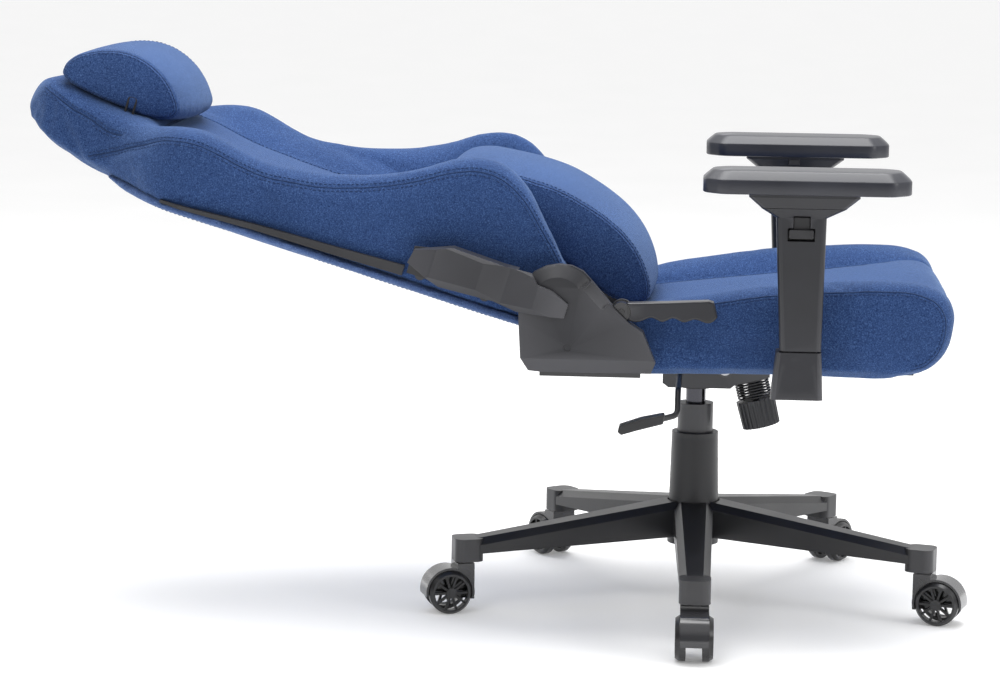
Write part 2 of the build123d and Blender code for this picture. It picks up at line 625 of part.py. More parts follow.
with BuildPart() as hinge_covers:
    with BuildSketch(side(COVER_INNER)):
        closed(LOWER_OUTLINE)
    extrude(amount=COVER_OUTER - COVER_INNER)
    # hollow from the inside, shallower near the rim, where the outside is bevelled
    with BuildSketch(side(COVER_INNER)):
        closed(LOWER_OUTLINE)
        offset(amount=-SHELL, mode=Mode.REPLACE)
    extrude(amount=8, mode=Mode.SUBTRACT)
    with BuildSketch(side(COVER_INNER)):
        closed(LOWER_OUTLINE)
        offset(amount=-22, mode=Mode.REPLACE)
    extrude(amount=COVER_OUTER - COVER_INNER - SHELL, mode=Mode.SUBTRACT)
    # bevels along the foot, at the front corner, round the arc and along the edge before it
    with BuildSketch(Plane.YZ.offset(-260)):
        closed([(-COVER_OUTER - 1, 360), (BEVEL_DEPTH - COVER_OUTER, 360),
                (BEVEL_DEPTH - COVER_OUTER, 364), (-COVER_OUTER - 1, 386)])
    extrude(amount=240, mode=Mode.SUBTRACT)
    with BuildSketch(ARC_PLANE):
        closed([(COVER_OUTER + 1, 33), (COVER_OUTER + 1, 60), (COVER_OUTER - BEVEL_DEPTH, 60),
                (COVER_OUTER - BEVEL_DEPTH, ARC_RADIUS)])
    revolve(axis=Axis((PIVOT_X, 0, PIVOT_Z), (0, 1, 0)), revolution_arc=105, mode=Mode.SUBTRACT)
    with BuildSketch(EDGE_PLANE):
        closed([(COVER_OUTER + 1, 17), (COVER_OUTER + 1, -12), (COVER_OUTER - BEVEL_DEPTH, -12),
                (COVER_OUTER - BEVEL_DEPTH, -1)])
    extrude(amount=36, mode=Mode.SUBTRACT)
    # standoffs on the hinge plate, a screw recess and room for the recline lever's hub
    for x, z in STANDOFFS:
        with BuildSketch(side(BRACKET_INNER + BRACKET_SHEET)):
            with Locations((x, z)):
                Circle(6)
        extrude(amount=COVER_INNER + 10 - BRACKET_INNER - BRACKET_SHEET)
    with BuildSketch(side(COVER_OUTER - 1.2)):
        with Locations(SCREW):
            Circle(5)
    extrude(amount=5, mode=Mode.SUBTRACT)
    with BuildSketch(side(COVER_INNER - 2)):
        with Locations((LEVER_HUB_X, LEVER_HUB_Z)):
            Circle(13.5)
    extrude(amount=19.5, mode=Mode.SUBTRACT)
    mirror(about=Plane.XZ)
save(hinge_covers, "hinge_covers")

UPPER_OUTLINE = [(201, 8), (205, -11), (156, -28), (81, -23), (48, -27), (7.5, -20), (-14, -15),
                 (-14, 4), (11, 14.5), (32, 16), (44, 28), (83, 26), (153, 27.5), (176, 18)]
# thickness of the upper cover seen from above: distance from the middle plane against u
UPPER_PLAN = [(62, UPPER_INNER - 1), (210, UPPER_INNER - 1), (210, 283), (172, 300), (108, 303),
              (72, 298), (30, 302), (-20, 299), (-20, TIP_INNER), (62, TIP_INNER)]

with BuildPart() as back_covers:
    with BuildSketch(right_back(UPPER_OUTER)):
        closed(UPPER_OUTLINE)
    extrude(amount=UPPER_OUTER - UPPER_INNER + 1)
    with BuildSketch(BACK_FRONT.offset(-60)):
        closed(UPPER_PLAN)
    extrude(amount=120, mode=Mode.INTERSECT)
    # bevels along the lower and upper edges
    with BuildSketch(Plane(origin=(PIVOT_X, 0, PIVOT_Z), x_dir=(0, -1, 0), z_dir=ALONG).offset(-30)):
        closed([(UPPER_OUTER + 1, -14), (UPPER_OUTER + 1, -40), (284, -40)])
        closed([(UPPER_OUTER + 1, 20), (UPPER_OUTER + 1, 40), (288, 40)])
    extrude(amount=260, mode=Mode.SUBTRACT)
    with BuildSketch(right_back(292)):
        closed([(67, -18), (150, -22), (180, -12), (170, 10), (150, 20), (67, 20)])
    extrude(amount=292 - UPPER_INNER + 2, mode=Mode.SUBTRACT)
    mirror(about=Plane.XZ)
save(back_covers, "back_covers")

# ---------------------------------------------------------------- reclining back
BOSS_U = (95.0, 185.0)
BOSS_V = -25.0
BOSS_RADIUS = 7.0
BACK_FRAME_HALF = 222.0
BACK_TUBE = 20.0
TUBE_REAR = -36.0         # v of the back frame's rear face
TUBE_DEPTH = 18.0
RING_LOW = -14.0          # u of the back frame's lower and upper edges
RING_HIGH = 575.0
HOOP_HIGH = 650.0
HOOP_HALF = 110.0

with BuildPart() as back_arms:
    with BuildSketch(right_back(BACK_ARM_INNER + BRACKET_SHEET)):
        Circle(24)
        closed([(0, -24), (60, -27), (203, -27), (203, 10), (150, 22), (0, 24)])
        Circle(PIVOT_RADIUS + RUN, mode=Mode.SUBTRACT)
    extrude(amount=BRACKET_SHEET)
    with BuildSketch(right_back(BACK_ARM_INNER)):
        with Locations([(u, BOSS_V) for u in BOSS_U]):
            Circle(BOSS_RADIUS)
    extrude(amount=BACK_ARM_INNER - BACK_FRAME_HALF)
    mirror(about=Plane.XZ)
save(back_arms, "back_arms")



def back_tubes(wall):
    """Front view of the back frame in the sketch that is open, drawn in by wall all round."""
    middle = (RING_LOW + RING_HIGH) / 2
    span = RING_HIGH - RING_LOW
    width = BACK_TUBE - 2 * wall
    with Locations((middle, 0)):
        RectangleRounded(span - 2 * wall, 2 * (BACK_FRAME_HALF - wall), 40 - wall)
        RectangleRounded(span - 2 * (BACK_TUBE - wall), 2 * (BACK_FRAME_HALF - BACK_TUBE + wall),
                         20 + wall, mode=Mode.SUBTRACT)
    with Locations((290, 0), (430, 0)):
        Rectangle(width, 2 * BACK_FRAME_HALF - BACK_TUBE)
    with Locations((600, -HOOP_HALF), (600, HOOP_HALF)):
        Rectangle(2 * (HOOP_HIGH - wall - 600), width)
    with Locations((HOOP_HIGH - BACK_TUBE / 2, 0)):
        Rectangle(width, 2 * HOOP_HALF + width)


with BuildPart() as back_frame:
    with BuildSketch(BACK_FRONT.offset(TUBE_REAR)):
        back_tubes(0)
    extrude(amount=TUBE_DEPTH)
    with BuildSketch(BACK_FRONT.offset(TUBE_REAR + TUBE_WALL_STEEL)):
        back_tubes(TUBE_WALL_STEEL)
    extrude(amount=TUBE_DEPTH - 2 * TUBE_WALL_STEEL, mode=Mode.SUBTRACT)
save(back_frame, "back_frame")

CREST = [(-40, 8), (-20, 34), (0, 50), (26, 78), (50, 100), (74, 123), (99, 139), (121, 147),
         (150, 147), (191, 132), (225, 111), (268, 89), (313, 72), (385, 56), (427, 52),
         (489, 61), (535, 63), (577, 54), (606, 42), (650, 45), (700, 50), (738, 57), (770, 52),
         (784, 36), (788, 13), (776, -8), (742, -22), (708, -32), (677, -38), (655, BACK_REAR)]
CHANNEL_FLOOR = [(-60, 8), (0, 27), (100, 30.5), (220, 29), (300, 22), (380, 18), (440, 20),
                 (510, 24), (545, 32), (594, 37)]
HALF_WIDTH = [(-40, 225), (0, 237), (60, 246), (150, 251), (204, 252), (300, 251), (420, 245),
              (520, 262), (580, 238), (620, 192), (680, 166), (740, 151), (788, 115)]
TRIM_OUTLINE = [(547, -43), (547, -39.5), (209, -21), (209, -35)]
TRIM_INNER = 226.0


def back_outline(edge):
    """Front view of the back in the sketch that is open, drawn in by edge all round."""
    right = [(u, w - edge) for u, w in HALF_WIDTH]
    left = [(u, edge - w) for u, w in reversed(HALF_WIDTH)]
    Polygon(*right, *left, align=None)


with BuildPart() as back_cushion:
    with BuildSketch(back_side(-300)):
        with BuildLine():
            Spline(*CREST)
            Line(CREST[-1], (CREST[0][0], BACK_REAR))
            Line((CREST[0][0], BACK_REAR), CREST[0])
        make_face()
    extrude(amount=600)
    with BuildSketch(BACK_FRONT.offset(-100)):
        back_outline(0)
    extrude(amount=300, mode=Mode.INTERSECT)
    # the channel between the wings, where the sitter's back goes
    with BuildSketch(back_side(-CHANNEL_HALF)):
        with BuildLine():
            Spline(*CHANNEL_FLOOR)
            Polyline(CHANNEL_FLOOR[-1], (594, 200), (-60, 200), CHANNEL_FLOOR[0])
        make_face()
    extrude(amount=2 * CHANNEL_HALF, mode=Mode.SUBTRACT)
    # the rear is hollowed for the frame and its bosses
    with BuildSketch(BACK_FRONT.offset(BACK_REAR - 10)):
        with Locations((280, 0)):
            Rectangle(2 * (RING_HIGH + 4 - 280), 2 * (BACK_FRAME_HALF + 3))
        with Locations((600, 0)):
            Rectangle(2 * (HOOP_HIGH + 4 - 600), 2 * (HOOP_HALF + BACK_TUBE))
    extrude(amount=TUBE_REAR + TUBE_DEPTH + 1 - BACK_REAR + 10, mode=Mode.SUBTRACT)
    for near in (-300, 224):
        with BuildSketch(back_side(near)):
            with Locations([(u, BOSS_V) for u in BOSS_U]):
                Circle(BOSS_RADIUS + 1)
        extrude(amount=76, mode=Mode.SUBTRACT)
    for near in (-300, TRIM_INNER - GAP):
        with BuildSketch(back_side(near)):
            closed([(560, -50), (560, -39.5 + GAP), (205, -20.7), (205, -50)])
        extrude(amount=300 - TRIM_INNER + GAP, mode=Mode.SUBTRACT)
save(back_cushion, "back_cushion")

with BuildPart() as back_trims:
    with BuildSketch(BACK_FRONT.offset(BACK_REAR - 10)):
        back_outline(0)
    extrude(amount=60)
    with BuildSketch(back_side(-300)):
        closed(TRIM_OUTLINE)
    extrude(amount=600, mode=Mode.INTERSECT)
    with BuildSketch(back_side(-TRIM_INNER)):
        with Locations((400, 0)):
            Rectangle(1000, 200)
    extrude(amount=2 * TRIM_INNER, mode=Mode.SUBTRACT)
save(back_trims, "back_trims")

PANEL_OUTLINE = [(-36, BACK_REAR - GAP), (-36, -51), (-18, PANEL_REAR), (600, PANEL_REAR),
                 (652, -46), (652, BACK_REAR - GAP)]

with BuildPart() as back_panel:
    with BuildSketch(BACK_FRONT.offset(PANEL_REAR)):
        back_outline(2)
    extrude(amount=BACK_REAR - GAP - PANEL_REAR)
    with BuildSketch(back_side(-300)):
        closed(PANEL_OUTLINE)
    extrude(amount=600, mode=Mode.INTERSECT)
save(back_panel, "back_panel")

HEAD_PILLOW = [(604, 43), (650, 47.5), (700, 52.5), (735, 60), (747, 63), (749, 72), (740, 95),
               (710, 116), (677, 133), (632, 138), (593, 130), (571, 116), (555, 97), (549, 78),
               (582, 62)]

with BuildPart() as head_pillow:
    with BuildSketch(back_side(-HEAD_PILLOW_HALF)):
        closed(HEAD_PILLOW)
    extrude(amount=2 * HEAD_PILLOW_HALF)
save(head_pillow, "head_pillow")

LUMBAR_TOP = [(205, LUMBAR_BASE), (209, 95), (199, 123), (170, 139), (127, 146), (77, 150),
              (44, 149), (13, 142), (-18, 133), (-50, 120), (-81, 96), (-103, 71), (-114, 53),
              (-119, LUMBAR_BASE)]

with BuildPart() as lumbar_pillow:
    with BuildSketch(back_side(-LUMBAR_HALF)):
        closed(LUMBAR_TOP)
    extrude(amount=2 * LUMBAR_HALF)
save(lumbar_pillow, "lumbar_pillow")

# ---------------------------------------------------------------- recline lever
GRIP_TOP = [(-90, 460), (-60, 461), (16, 465), (23, 463), (28, 444)]
GRIP_FOOT = [(28, 444), (12, 436), (-2, 440), (-16, 436), (-30, 441), (-44, 436), (-58, 441),
             (-68, 438), (-90, 438)]

with BuildPart() as recline_lever:
    with BuildSketch(side(262.5)):
        with Locations((LEVER_HUB_X, LEVER_HUB_Z)):
            Circle(12.5)
    extrude(amount=22.5)
    with BuildSketch(side(272)):
        closed([(LEVER_HUB_X, 442), (-45, 446), (-45, 457), (LEVER_HUB_X, 457)])
    extrude(amount=9)
    with BuildSketch(side(262)):
        with Locations((LEVER_HUB_X, LEVER_HUB_Z)):
            Circle(4 + RUN)
    extrude(amount=30, mode=Mode.SUBTRACT)
save(recline_lever, "recline_lever")

with BuildPart() as recline_grip:
    with BuildSketch(side(267)):
        with BuildLine():
            Polyline(*GRIP_TOP)
            Spline(*GRIP_FOOT)
            Line(GRIP_FOOT[-1], GRIP_TOP[0])
        make_face()
    extrude(amount=20)
    fillet(faces().filter_by(Axis.Y).edges(), 2.5)
    add(recline_lever.part, mode=Mode.SUBTRACT)
    with BuildSketch(side(262)):
        with Locations((LEVER_HUB_X, LEVER_HUB_Z)):
            Circle(12.6)
    extrude(amount=30, mode=Mode.SUBTRACT)
save(recline_grip, "recline_grip")


# ---------------------------------------------------------------- arms
def save_pair(piece, name):
    """Write a right-hand piece and its mirror image for the left arm."""
    save(piece, f"right_{name}")
    with BuildPart() as left:
        mirror(piece.part, about=Plane.XZ)
    save(left, f"left_{name}")


BLADE_Y = 297.0           # middle of the upright blade
BLADE_HIGH = 515.0

with BuildPart() as arm_brackets:
    with BuildSketch(Plane.XY.offset(FRAME_LOW - ARM_SHEET)):
        with Locations((POST_X, -(120 + BLADE_Y + 3) / 2)):
            Rectangle(48, BLADE_Y + 3 - 120)
        with Locations([(x, -RAIL_Y) for x in ARM_BOLTS]):
            Circle(BOLT_SHANK + RUN, mode=Mode.SUBTRACT)
    extrude(amount=ARM_SHEET)
    with BuildSketch(side(BLADE_Y - ARM_SHEET / 2)):
        with Locations((POST_X, (FRAME_LOW - ARM_SHEET + BLADE_HIGH) / 2)):
            Rectangle(BLADE_WIDTH, BLADE_HIGH - FRAME_LOW + ARM_SHEET)
    extrude(amount=ARM_SHEET)
    mirror(about=Plane.XZ)
save(arm_brackets, "arm_brackets")

COLLAR_SECTIONS = [(COLLAR_LOW, 133.0, 68.0, 45.0), (COLLAR_HIGH, 134.5, 59.0, 42.0)]
COLLAR_Y = 298.5

with BuildPart() as arm_collars:
    for z, x, length, width in COLLAR_SECTIONS:
        with BuildSketch(Plane.XY.offset(z)):
            with Locations((x, -COLLAR_Y)):
                RectangleRounded(length, width, 7)
    loft()
    for z, x, length, width in COLLAR_SECTIONS:
        with BuildSketch(Plane.XY.offset(z - 4)):
            with Locations((x, -COLLAR_Y)):
                RectangleRounded(length - 6, width - 6, 5)
    loft(mode=Mode.SUBTRACT)
    with BuildSketch(Plane.XY.offset(COLLAR_LOW - 1)):
        with Locations((POST_X, -COLLAR_Y + 20)):
            Rectangle(52, 20)
    extrude(amount=FRAME_LOW + 2 - COLLAR_LOW, mode=Mode.SUBTRACT)
    # guide that the sleeve slides on, with the bracket's blade inside it
    with BuildSketch(Plane.XY.offset(COLLAR_HIGH)):
        with Locations((POST_X, -POST_Y)):
            RectangleRounded(GUIDE_LENGTH, GUIDE_WIDTH, 4)
    extrude(amount=GUIDE_HIGH - COLLAR_HIGH)
    with BuildSketch(Plane.XY.offset(COLLAR_HIGH - 6)):
        with Locations((POST_X, -BLADE_Y)):
            Rectangle(BLADE_WIDTH + 2, ARM_SHEET + 2)
    extrude(amount=GUIDE_HIGH - COLLAR_HIGH, mode=Mode.SUBTRACT)
    mirror(about=Plane.XZ)
save(arm_collars, "arm_collars")

SLEEVE_SECTIONS = [(SLEEVE_LOW, 136.5, 54.0, 38.0), (SLEEVE_HIGH, 133.5, 65.0, 44.0)]
HEAD_SECTIONS = [(SLEEVE_HIGH, 133.5, POST_Y, 65.0, 44.0), (HEAD_HIGH, 136.0, 297.0, 110.0, 70.0)]
CAVITY_CLEARANCE = 0.3
TURNTABLE_SHAFT = 6.0
TURNTABLE_NECK = 8.0
TURNTABLE_RADIUS = 22.0
SLIDE_REACH = 20.0        # how far the pad slides each way

with BuildPart() as arm_sleeve:
    for z, x, length, width in SLEEVE_SECTIONS:
        with BuildSketch(Plane.XY.offset(z)):
            with Locations((x, -POST_Y)):
                RectangleRounded(length, width, 7)
    loft()
    for z, x, y, length, width in HEAD_SECTIONS:
        with BuildSketch(Plane.XY.offset(z)):
            with Locations((x, -y)):
                RectangleRounded(length, width, 7)
    loft()
    with BuildSketch(Plane.XY.offset(SLEEVE_LOW - 1)):
        with Locations((POST_X, -POST_Y)):
            RectangleRounded(GUIDE_LENGTH + 2 * CAVITY_CLEARANCE,
                             GUIDE_WIDTH + 2 * CAVITY_CLEARANCE, 4)
    extrude(amount=545 - SLEEVE_LOW + 1, mode=Mode.SUBTRACT)
    with BuildSketch(Plane.XY.offset(HEAD_HIGH - 19)):
        with Locations((POST_X, -POST_Y)):
            Circle(TURNTABLE_SHAFT + RUN)
    extrude(amount=30, mode=Mode.SUBTRACT)
    # pocket of the height trigger
    with BuildSketch(side(308)):
        with Locations((133.5, 558.5)):
            Rectangle(35, 17)
        with Locations((134, 574)):
            Rectangle(22, 18)
    extrude(amount=40, mode=Mode.SUBTRACT)
    with BuildSketch(Plane.YZ.offset(118.5)):
        with Locations((-TRIGGER_Y - 1.5, TRIGGER_Z)):
            Circle(2.5 + RUN)
    extrude(amount=31, mode=Mode.SUBTRACT)
save_pair(arm_sleeve, "arm_sleeve")

with BuildPart() as arm_trigger:
    with BuildSketch(side(TRIGGER_Y - 1.5)):
        with Locations((133.5, 559.5)):
            Rectangle(33, 13)
            fillet(vertices(), 3)
        with Locations((134, 573)):
            Rectangle(20, 16)
    extrude(amount=6.5)
    with BuildSketch(side(TRIGGER_Y + 5)):
        with Locations((133.5, 559.5)):
            RectangleRounded(33, 13, 3)
    extrude(amount=6, taper=8)
    with BuildSketch(Plane.YZ.offset(119)):
        with Locations((-TRIGGER_Y - 1.5, TRIGGER_Z)):
            Circle(2.5)
    extrude(amount=30)
save_pair(arm_trigger, "arm_trigger")

with BuildPart() as arm_turntable:
    for low, high, radius in [(HEAD_HIGH - 18, HEAD_HIGH + 0.2, TURNTABLE_SHAFT),
                              (HEAD_HIGH + 0.2, TRAY_BASE + 2.8, TURNTABLE_NECK),
                              (TRAY_BASE + 2.8, TRAY_BASE + 7.2, TURNTABLE_RADIUS)]:
        with BuildSketch(Plane.XY.offset(low)):
            with Locations((POST_X, -POST_Y)):
                Circle(radius)
        extrude(amount=high - low)
save_pair(arm_turntable, "arm_turntable")

BUTTON_X = 135.0
BUTTON_Z = 603.5

with BuildPart() as arm_tray:
    for z, x, y, length, width in [(TRAY_BASE, 136.0, 297.0, 110.0, 70.0),
                                   (TRAY_BASE + 14, 136.5, PAD_Y, 143.0, 86.0)]:
        with BuildSketch(Plane.XY.offset(z)):
            with Locations((x, -y)):
                RectangleRounded(length, width, 7)
    loft()
    with BuildSketch(Plane.XY.offset(TRAY_BASE + 14)):
        with Locations((136.5, -PAD_Y)):
            RectangleRounded(143, 86, 7)
    extrude(amount=PAD_LOW - TRAY_BASE - 14)
    # undercut slot that the turntable's disc slides in
    for low, high, radius in [(TRAY_BASE - 1, TRAY_BASE + 2.5, TURNTABLE_NECK),
                              (TRAY_BASE + 2.5, TRAY_BASE + 7.5, TURNTABLE_RADIUS)]:
        with BuildSketch(Plane.XY.offset(low)):
            with Locations((POST_X, -POST_Y)):
                Rectangle(2 * (radius + SLIDE_REACH + 0.5), 2 * (radius + 0.3))
        extrude(amount=high - low, mode=Mode.SUBTRACT)
    with BuildSketch(side(240)):
        with Locations((BUTTON_X, BUTTON_Z)):
            Rectangle(16.4, 8.4)
    extrude(amount=26, mode=Mode.SUBTRACT)
save_pair(arm_tray, "arm_tray")

with BuildPart() as arm_button:
    with BuildSketch(side(249.5)):
        with Locations((BUTTON_X, BUTTON_Z)):
            RectangleRounded(16, 8, 2)
    extrude(amount=13)
save_pair(arm_button, "arm_button")

PAD_RIM = 630.0
PAD_INSET = 13.0
PAD_CORNER = 24.0

with BuildPart() as arm_pad:
    with BuildSketch(Plane.XY.offset(PAD_LOW)):
        with Locations((PAD_X, -PAD_Y)):
            Rectangle(PAD_LENGTH, PAD_WIDTH)
        chamfer(vertices(), PAD_CORNER)
        fillet(vertices(), 8)
    extrude(amount=PAD_RIM - PAD_LOW)
    for z, inset in [(PAD_RIM, 0.0), (PAD_HIGH, PAD_INSET)]:
        with BuildSketch(Plane.XY.offset(z)):
            with Locations((PAD_X, -PAD_Y)):
                Rectangle(PAD_LENGTH - 2 * inset, PAD_WIDTH - 2 * inset)
            chamfer(vertices(), PAD_CORNER - inset / 2)
            fillet(vertices(), 8)
    loft()
save_pair(arm_pad, "arm_pad")
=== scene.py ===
import json
import math

import bmesh
import bpy
import numpy as np
from mathutils import Matrix, Vector
from mathutils.bvhtree import BVHTree
from mathutils.kdtree import KDTree


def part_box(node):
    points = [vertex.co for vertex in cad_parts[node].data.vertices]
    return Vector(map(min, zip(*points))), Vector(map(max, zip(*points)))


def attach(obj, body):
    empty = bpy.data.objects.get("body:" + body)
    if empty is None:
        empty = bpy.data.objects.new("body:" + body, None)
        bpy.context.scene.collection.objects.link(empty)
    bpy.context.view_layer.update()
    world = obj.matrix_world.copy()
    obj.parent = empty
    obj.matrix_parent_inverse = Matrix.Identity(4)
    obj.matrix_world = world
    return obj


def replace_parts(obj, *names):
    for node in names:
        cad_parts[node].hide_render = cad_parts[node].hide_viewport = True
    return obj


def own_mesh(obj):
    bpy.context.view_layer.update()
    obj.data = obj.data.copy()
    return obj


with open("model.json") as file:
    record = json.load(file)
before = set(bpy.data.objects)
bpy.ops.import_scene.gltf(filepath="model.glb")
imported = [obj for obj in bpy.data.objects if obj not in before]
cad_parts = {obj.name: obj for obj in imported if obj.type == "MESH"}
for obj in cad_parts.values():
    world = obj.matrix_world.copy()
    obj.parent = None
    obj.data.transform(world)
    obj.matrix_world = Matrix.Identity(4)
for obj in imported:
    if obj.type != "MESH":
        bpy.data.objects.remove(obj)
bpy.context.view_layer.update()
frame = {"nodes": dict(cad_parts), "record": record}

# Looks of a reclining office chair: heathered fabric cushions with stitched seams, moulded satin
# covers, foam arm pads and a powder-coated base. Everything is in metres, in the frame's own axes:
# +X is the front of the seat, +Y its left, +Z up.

MM = 0.001

# ------------------------------------------------------------------ camera
FOCAL = 3082.0            # in widths of one picture element
PICTURE = 1000.0
CAMERA_AT = (0.031, -4.296, 0.993)
YAW, PITCH, ROLL = (math.radians(a) for a in (4.11, 8.29, -0.76))


def make_camera():
    """The camera looks along +Y, slightly to the left and down."""
    forward = Vector((-math.sin(YAW) * math.cos(PITCH), math.cos(YAW) * math.cos(PITCH),
                      -math.sin(PITCH)))
    level = Vector((math.cos(YAW), math.sin(YAW), 0))
    down = forward.cross(level)
    right = math.cos(ROLL) * level + math.sin(ROLL) * down
    low = -math.sin(ROLL) * level + math.cos(ROLL) * down
    data = bpy.data.cameras.new("camera")
    data.sensor_width = 36.0
    data.lens = FOCAL * data.sensor_width / PICTURE
    data.clip_end = 50
    camera = bpy.data.objects.new("camera", data)
    turn = Matrix((right, -low, -forward)).transposed()
    camera.matrix_world = Matrix.Translation(CAMERA_AT) @ turn.to_4x4()
    bpy.context.scene.collection.objects.link(camera)
    bpy.context.scene.camera = camera


make_camera()


# ------------------------------------------------------------------ materials
class Nodes:
    """Short names for building a material's node tree."""

    def __init__(self, name):
        self.material = bpy.data.materials.new(name)
        self.material.use_nodes = True
        self.tree = self.material.node_tree
        self.shader = self.tree.nodes["Principled BSDF"]

    def add(self, kind, **settings):
        node = self.tree.nodes.new("ShaderNode" + kind)
        for key, value in settings.items():
            setattr(node, key, value)
        return node

    def link(self, source, target):
        self.tree.links.new(source, target)

    def place(self, scale=(1, 1, 1)):
        """Object coordinates in metres, stretched by scale."""
        coordinates = self.add("TexCoord")
        mapping = self.add("Mapping")
        mapping.inputs["Scale"].default_value = scale
        self.link(coordinates.outputs["Object"], mapping.inputs["Vector"])
        return mapping.outputs["Vector"]

    def noise(self, scale, detail=2.0, stretch=(1, 1, 1), roughness=0.5):
        node = self.add("TexNoise")
        node.inputs["Scale"].default_value = scale
        node.inputs["Detail"].default_value = detail
        node.inputs["Roughness"].default_value = roughness
        self.link(self.place(stretch), node.inputs["Vector"])
        return node.outputs["Fac"]

    def ramp(self, value, stops):
        """Colours against value; a stop is (place, colour) or (place, grey)."""
        node = self.add("ValToRGB")
        elements = node.color_ramp.elements
        while len(elements) < len(stops):
            elements.new(0.5)
        for element, (place, colour) in zip(elements, stops):
            element.position = place
            rgb = (colour,) * 3 if isinstance(colour, (int, float)) else colour
            element.color = (*rgb, 1)
        self.link(value, node.inputs["Fac"])
        return node.outputs["Color"]

    def mix(self, factor, a, b, blend="MIX"):
        node = self.add("Mix", data_type="RGBA", blend_type=blend)
        for socket, value in ((node.inputs["Factor"], factor), (node.inputs[6], a), (node.inputs[7], b)):
            if isinstance(value, bpy.types.NodeSocket):
                self.link(value, socket)
            elif isinstance(value, (int, float)):
                socket.default_value = value
            else:
                socket.default_value = (*value, 1)
        return node.outputs[2]

    def math(self, operation, *values):
        node = self.add("Math", operation=operation)
        for socket, value in zip(node.inputs, values):
            if isinstance(value, bpy.types.NodeSocket):
                self.link(value, socket)
            else:
                socket.default_value = value
        return node.outputs["Value"]

    def bump(self, height, distance, strength=1.0, normal=None):
        node = self.add("Bump")
        node.inputs["Distance"].default_value = distance
        node.inputs["Strength"].default_value = strength
        self.link(height, node.inputs["Height"])
        if normal is not None:
            self.link(normal, node.inputs["Normal"])
        return node.outputs["Normal"]

    def set(self, **values):
        for key, value in values.items():
            socket = self.shader.inputs[key.replace("_", " ")]
            if isinstance(value, bpy.types.NodeSocket):
                self.link(value, socket)
            else:
                socket.default_value = value
        return self.material


YARN = 0.0016             # pitch of the cloth's threads


def weave(nodes):
    """Height of a plain weave, laid on from the side that each face looks to."""
    coordinates = nodes.add("TexCoord")
    split = nodes.add("SeparateXYZ")
    nodes.link(coordinates.outputs["Object"], split.inputs[0])
    normal = nodes.add("SeparateXYZ")
    nodes.link(coordinates.outputs["Normal"], normal.inputs[0])
    waves = [nodes.math("SINE", nodes.math("MULTIPLY", split.outputs[k], math.tau / YARN))
             for k in range(3)]
    facing = [nodes.math("POWER", nodes.math("ABSOLUTE", normal.outputs[k]), 3.0) for k in range(3)]
    total = nodes.math("ADD", nodes.math("ADD", facing[0], facing[1]), facing[2])
    height = None
    for k in range(3):
        pattern = nodes.math("MULTIPLY", waves[(k + 1) % 3], waves[(k + 2) % 3])
        part = nodes.math("DIVIDE", nodes.math("MULTIPLY", pattern, facing[k]), total)
        height = part if height is None else nodes.math("ADD", height, part)
    return height


def fabric(name, dark, middle, light, sheen=0.28):
    """Heathered woven upholstery cloth: threads of three shades, a soft bloom and a woven grain."""
    nodes = Nodes(name)
    threads = nodes.noise(520, 3, stretch=(1, 1, 2.4))
    crossing = nodes.noise(430, 3, stretch=(2.2, 1.6, 1))
    melange = nodes.math("ADD", nodes.math("MULTIPLY", threads, 0.55),
                         nodes.math("MULTIPLY", crossing, 0.45))
    colour = nodes.ramp(melange, [(0.36, dark), (0.5, middle), (0.66, light)])
    patches = nodes.ramp(nodes.noise(9, 3), [(0.3, 0.84), (0.7, 1.08)])
    colour = nodes.mix(0.6, colour, patches, "MULTIPLY")
    flecks = nodes.ramp(nodes.noise(210, 2), [(0.62, 0.0), (0.72, 1.0)])
    colour = nodes.mix(nodes.math("MULTIPLY", flecks, 0.35), colour, light)
    grain = nodes.bump(weave(nodes), 0.00025, 0.55)
    grain = nodes.bump(melange, 0.0006, 0.5, grain)
    grain = nodes.bump(nodes.noise(60, 3), 0.0010, 0.25, grain)
    nodes.set(Sheen_Weight=sheen, Sheen_Roughness=0.45, Sheen_Tint=(0.5, 0.7, 1.0, 1),
              Specular_IOR_Level=0.15)
    return nodes.set(Base_Color=colour, Roughness=nodes.ramp(melange, [(0.3, 0.8), (0.7, 0.95)]),
                     Normal=grain)


def painted_edge_highlight(nodes, low=0.54, high=0.64):
    """Mask for a painted highlight: 1 on convex edges, 0 elsewhere."""
    geometry = nodes.add("NewGeometry")
    return nodes.ramp(geometry.outputs["Pointiness"], [(low, 0.0), (high, 1.0)])


def moulding(name, colour, edge_highlight_colour, roughness, grain=0.3, coat=0.0, scale=900):
    """Injection-moulded or painted surface: fine grain, cloudy gloss and a painted highlight on convex
    edges.
    """
    nodes = Nodes(name)
    cloud = nodes.noise(14, 4)
    fine = nodes.noise(scale, 2)
    tone = nodes.ramp(cloud, [(0.3, tuple(0.82 * c for c in colour)),
                              (0.7, tuple(1.2 * c for c in colour))])
    # Convex edges are mixed towards a lighter colour: a painted highlight, not wear.
    tone = nodes.mix(nodes.math("MULTIPLY", painted_edge_highlight(nodes), 0.6), tone, edge_highlight_colour)
    rough = nodes.math("ADD", nodes.math("MULTIPLY", nodes.math("SUBTRACT", cloud, 0.5), 0.16),
                       roughness)
    soft_edge = nodes.add("Bevel", samples=4)
    soft_edge.inputs["Radius"].default_value = 0.0007
    normal = nodes.bump(fine, 0.00012, grain, soft_edge.outputs["Normal"])
    nodes.set(Coat_Weight=coat, Coat_Roughness=0.12)
    return nodes.set(Base_Color=tone, Roughness=rough, Normal=normal)


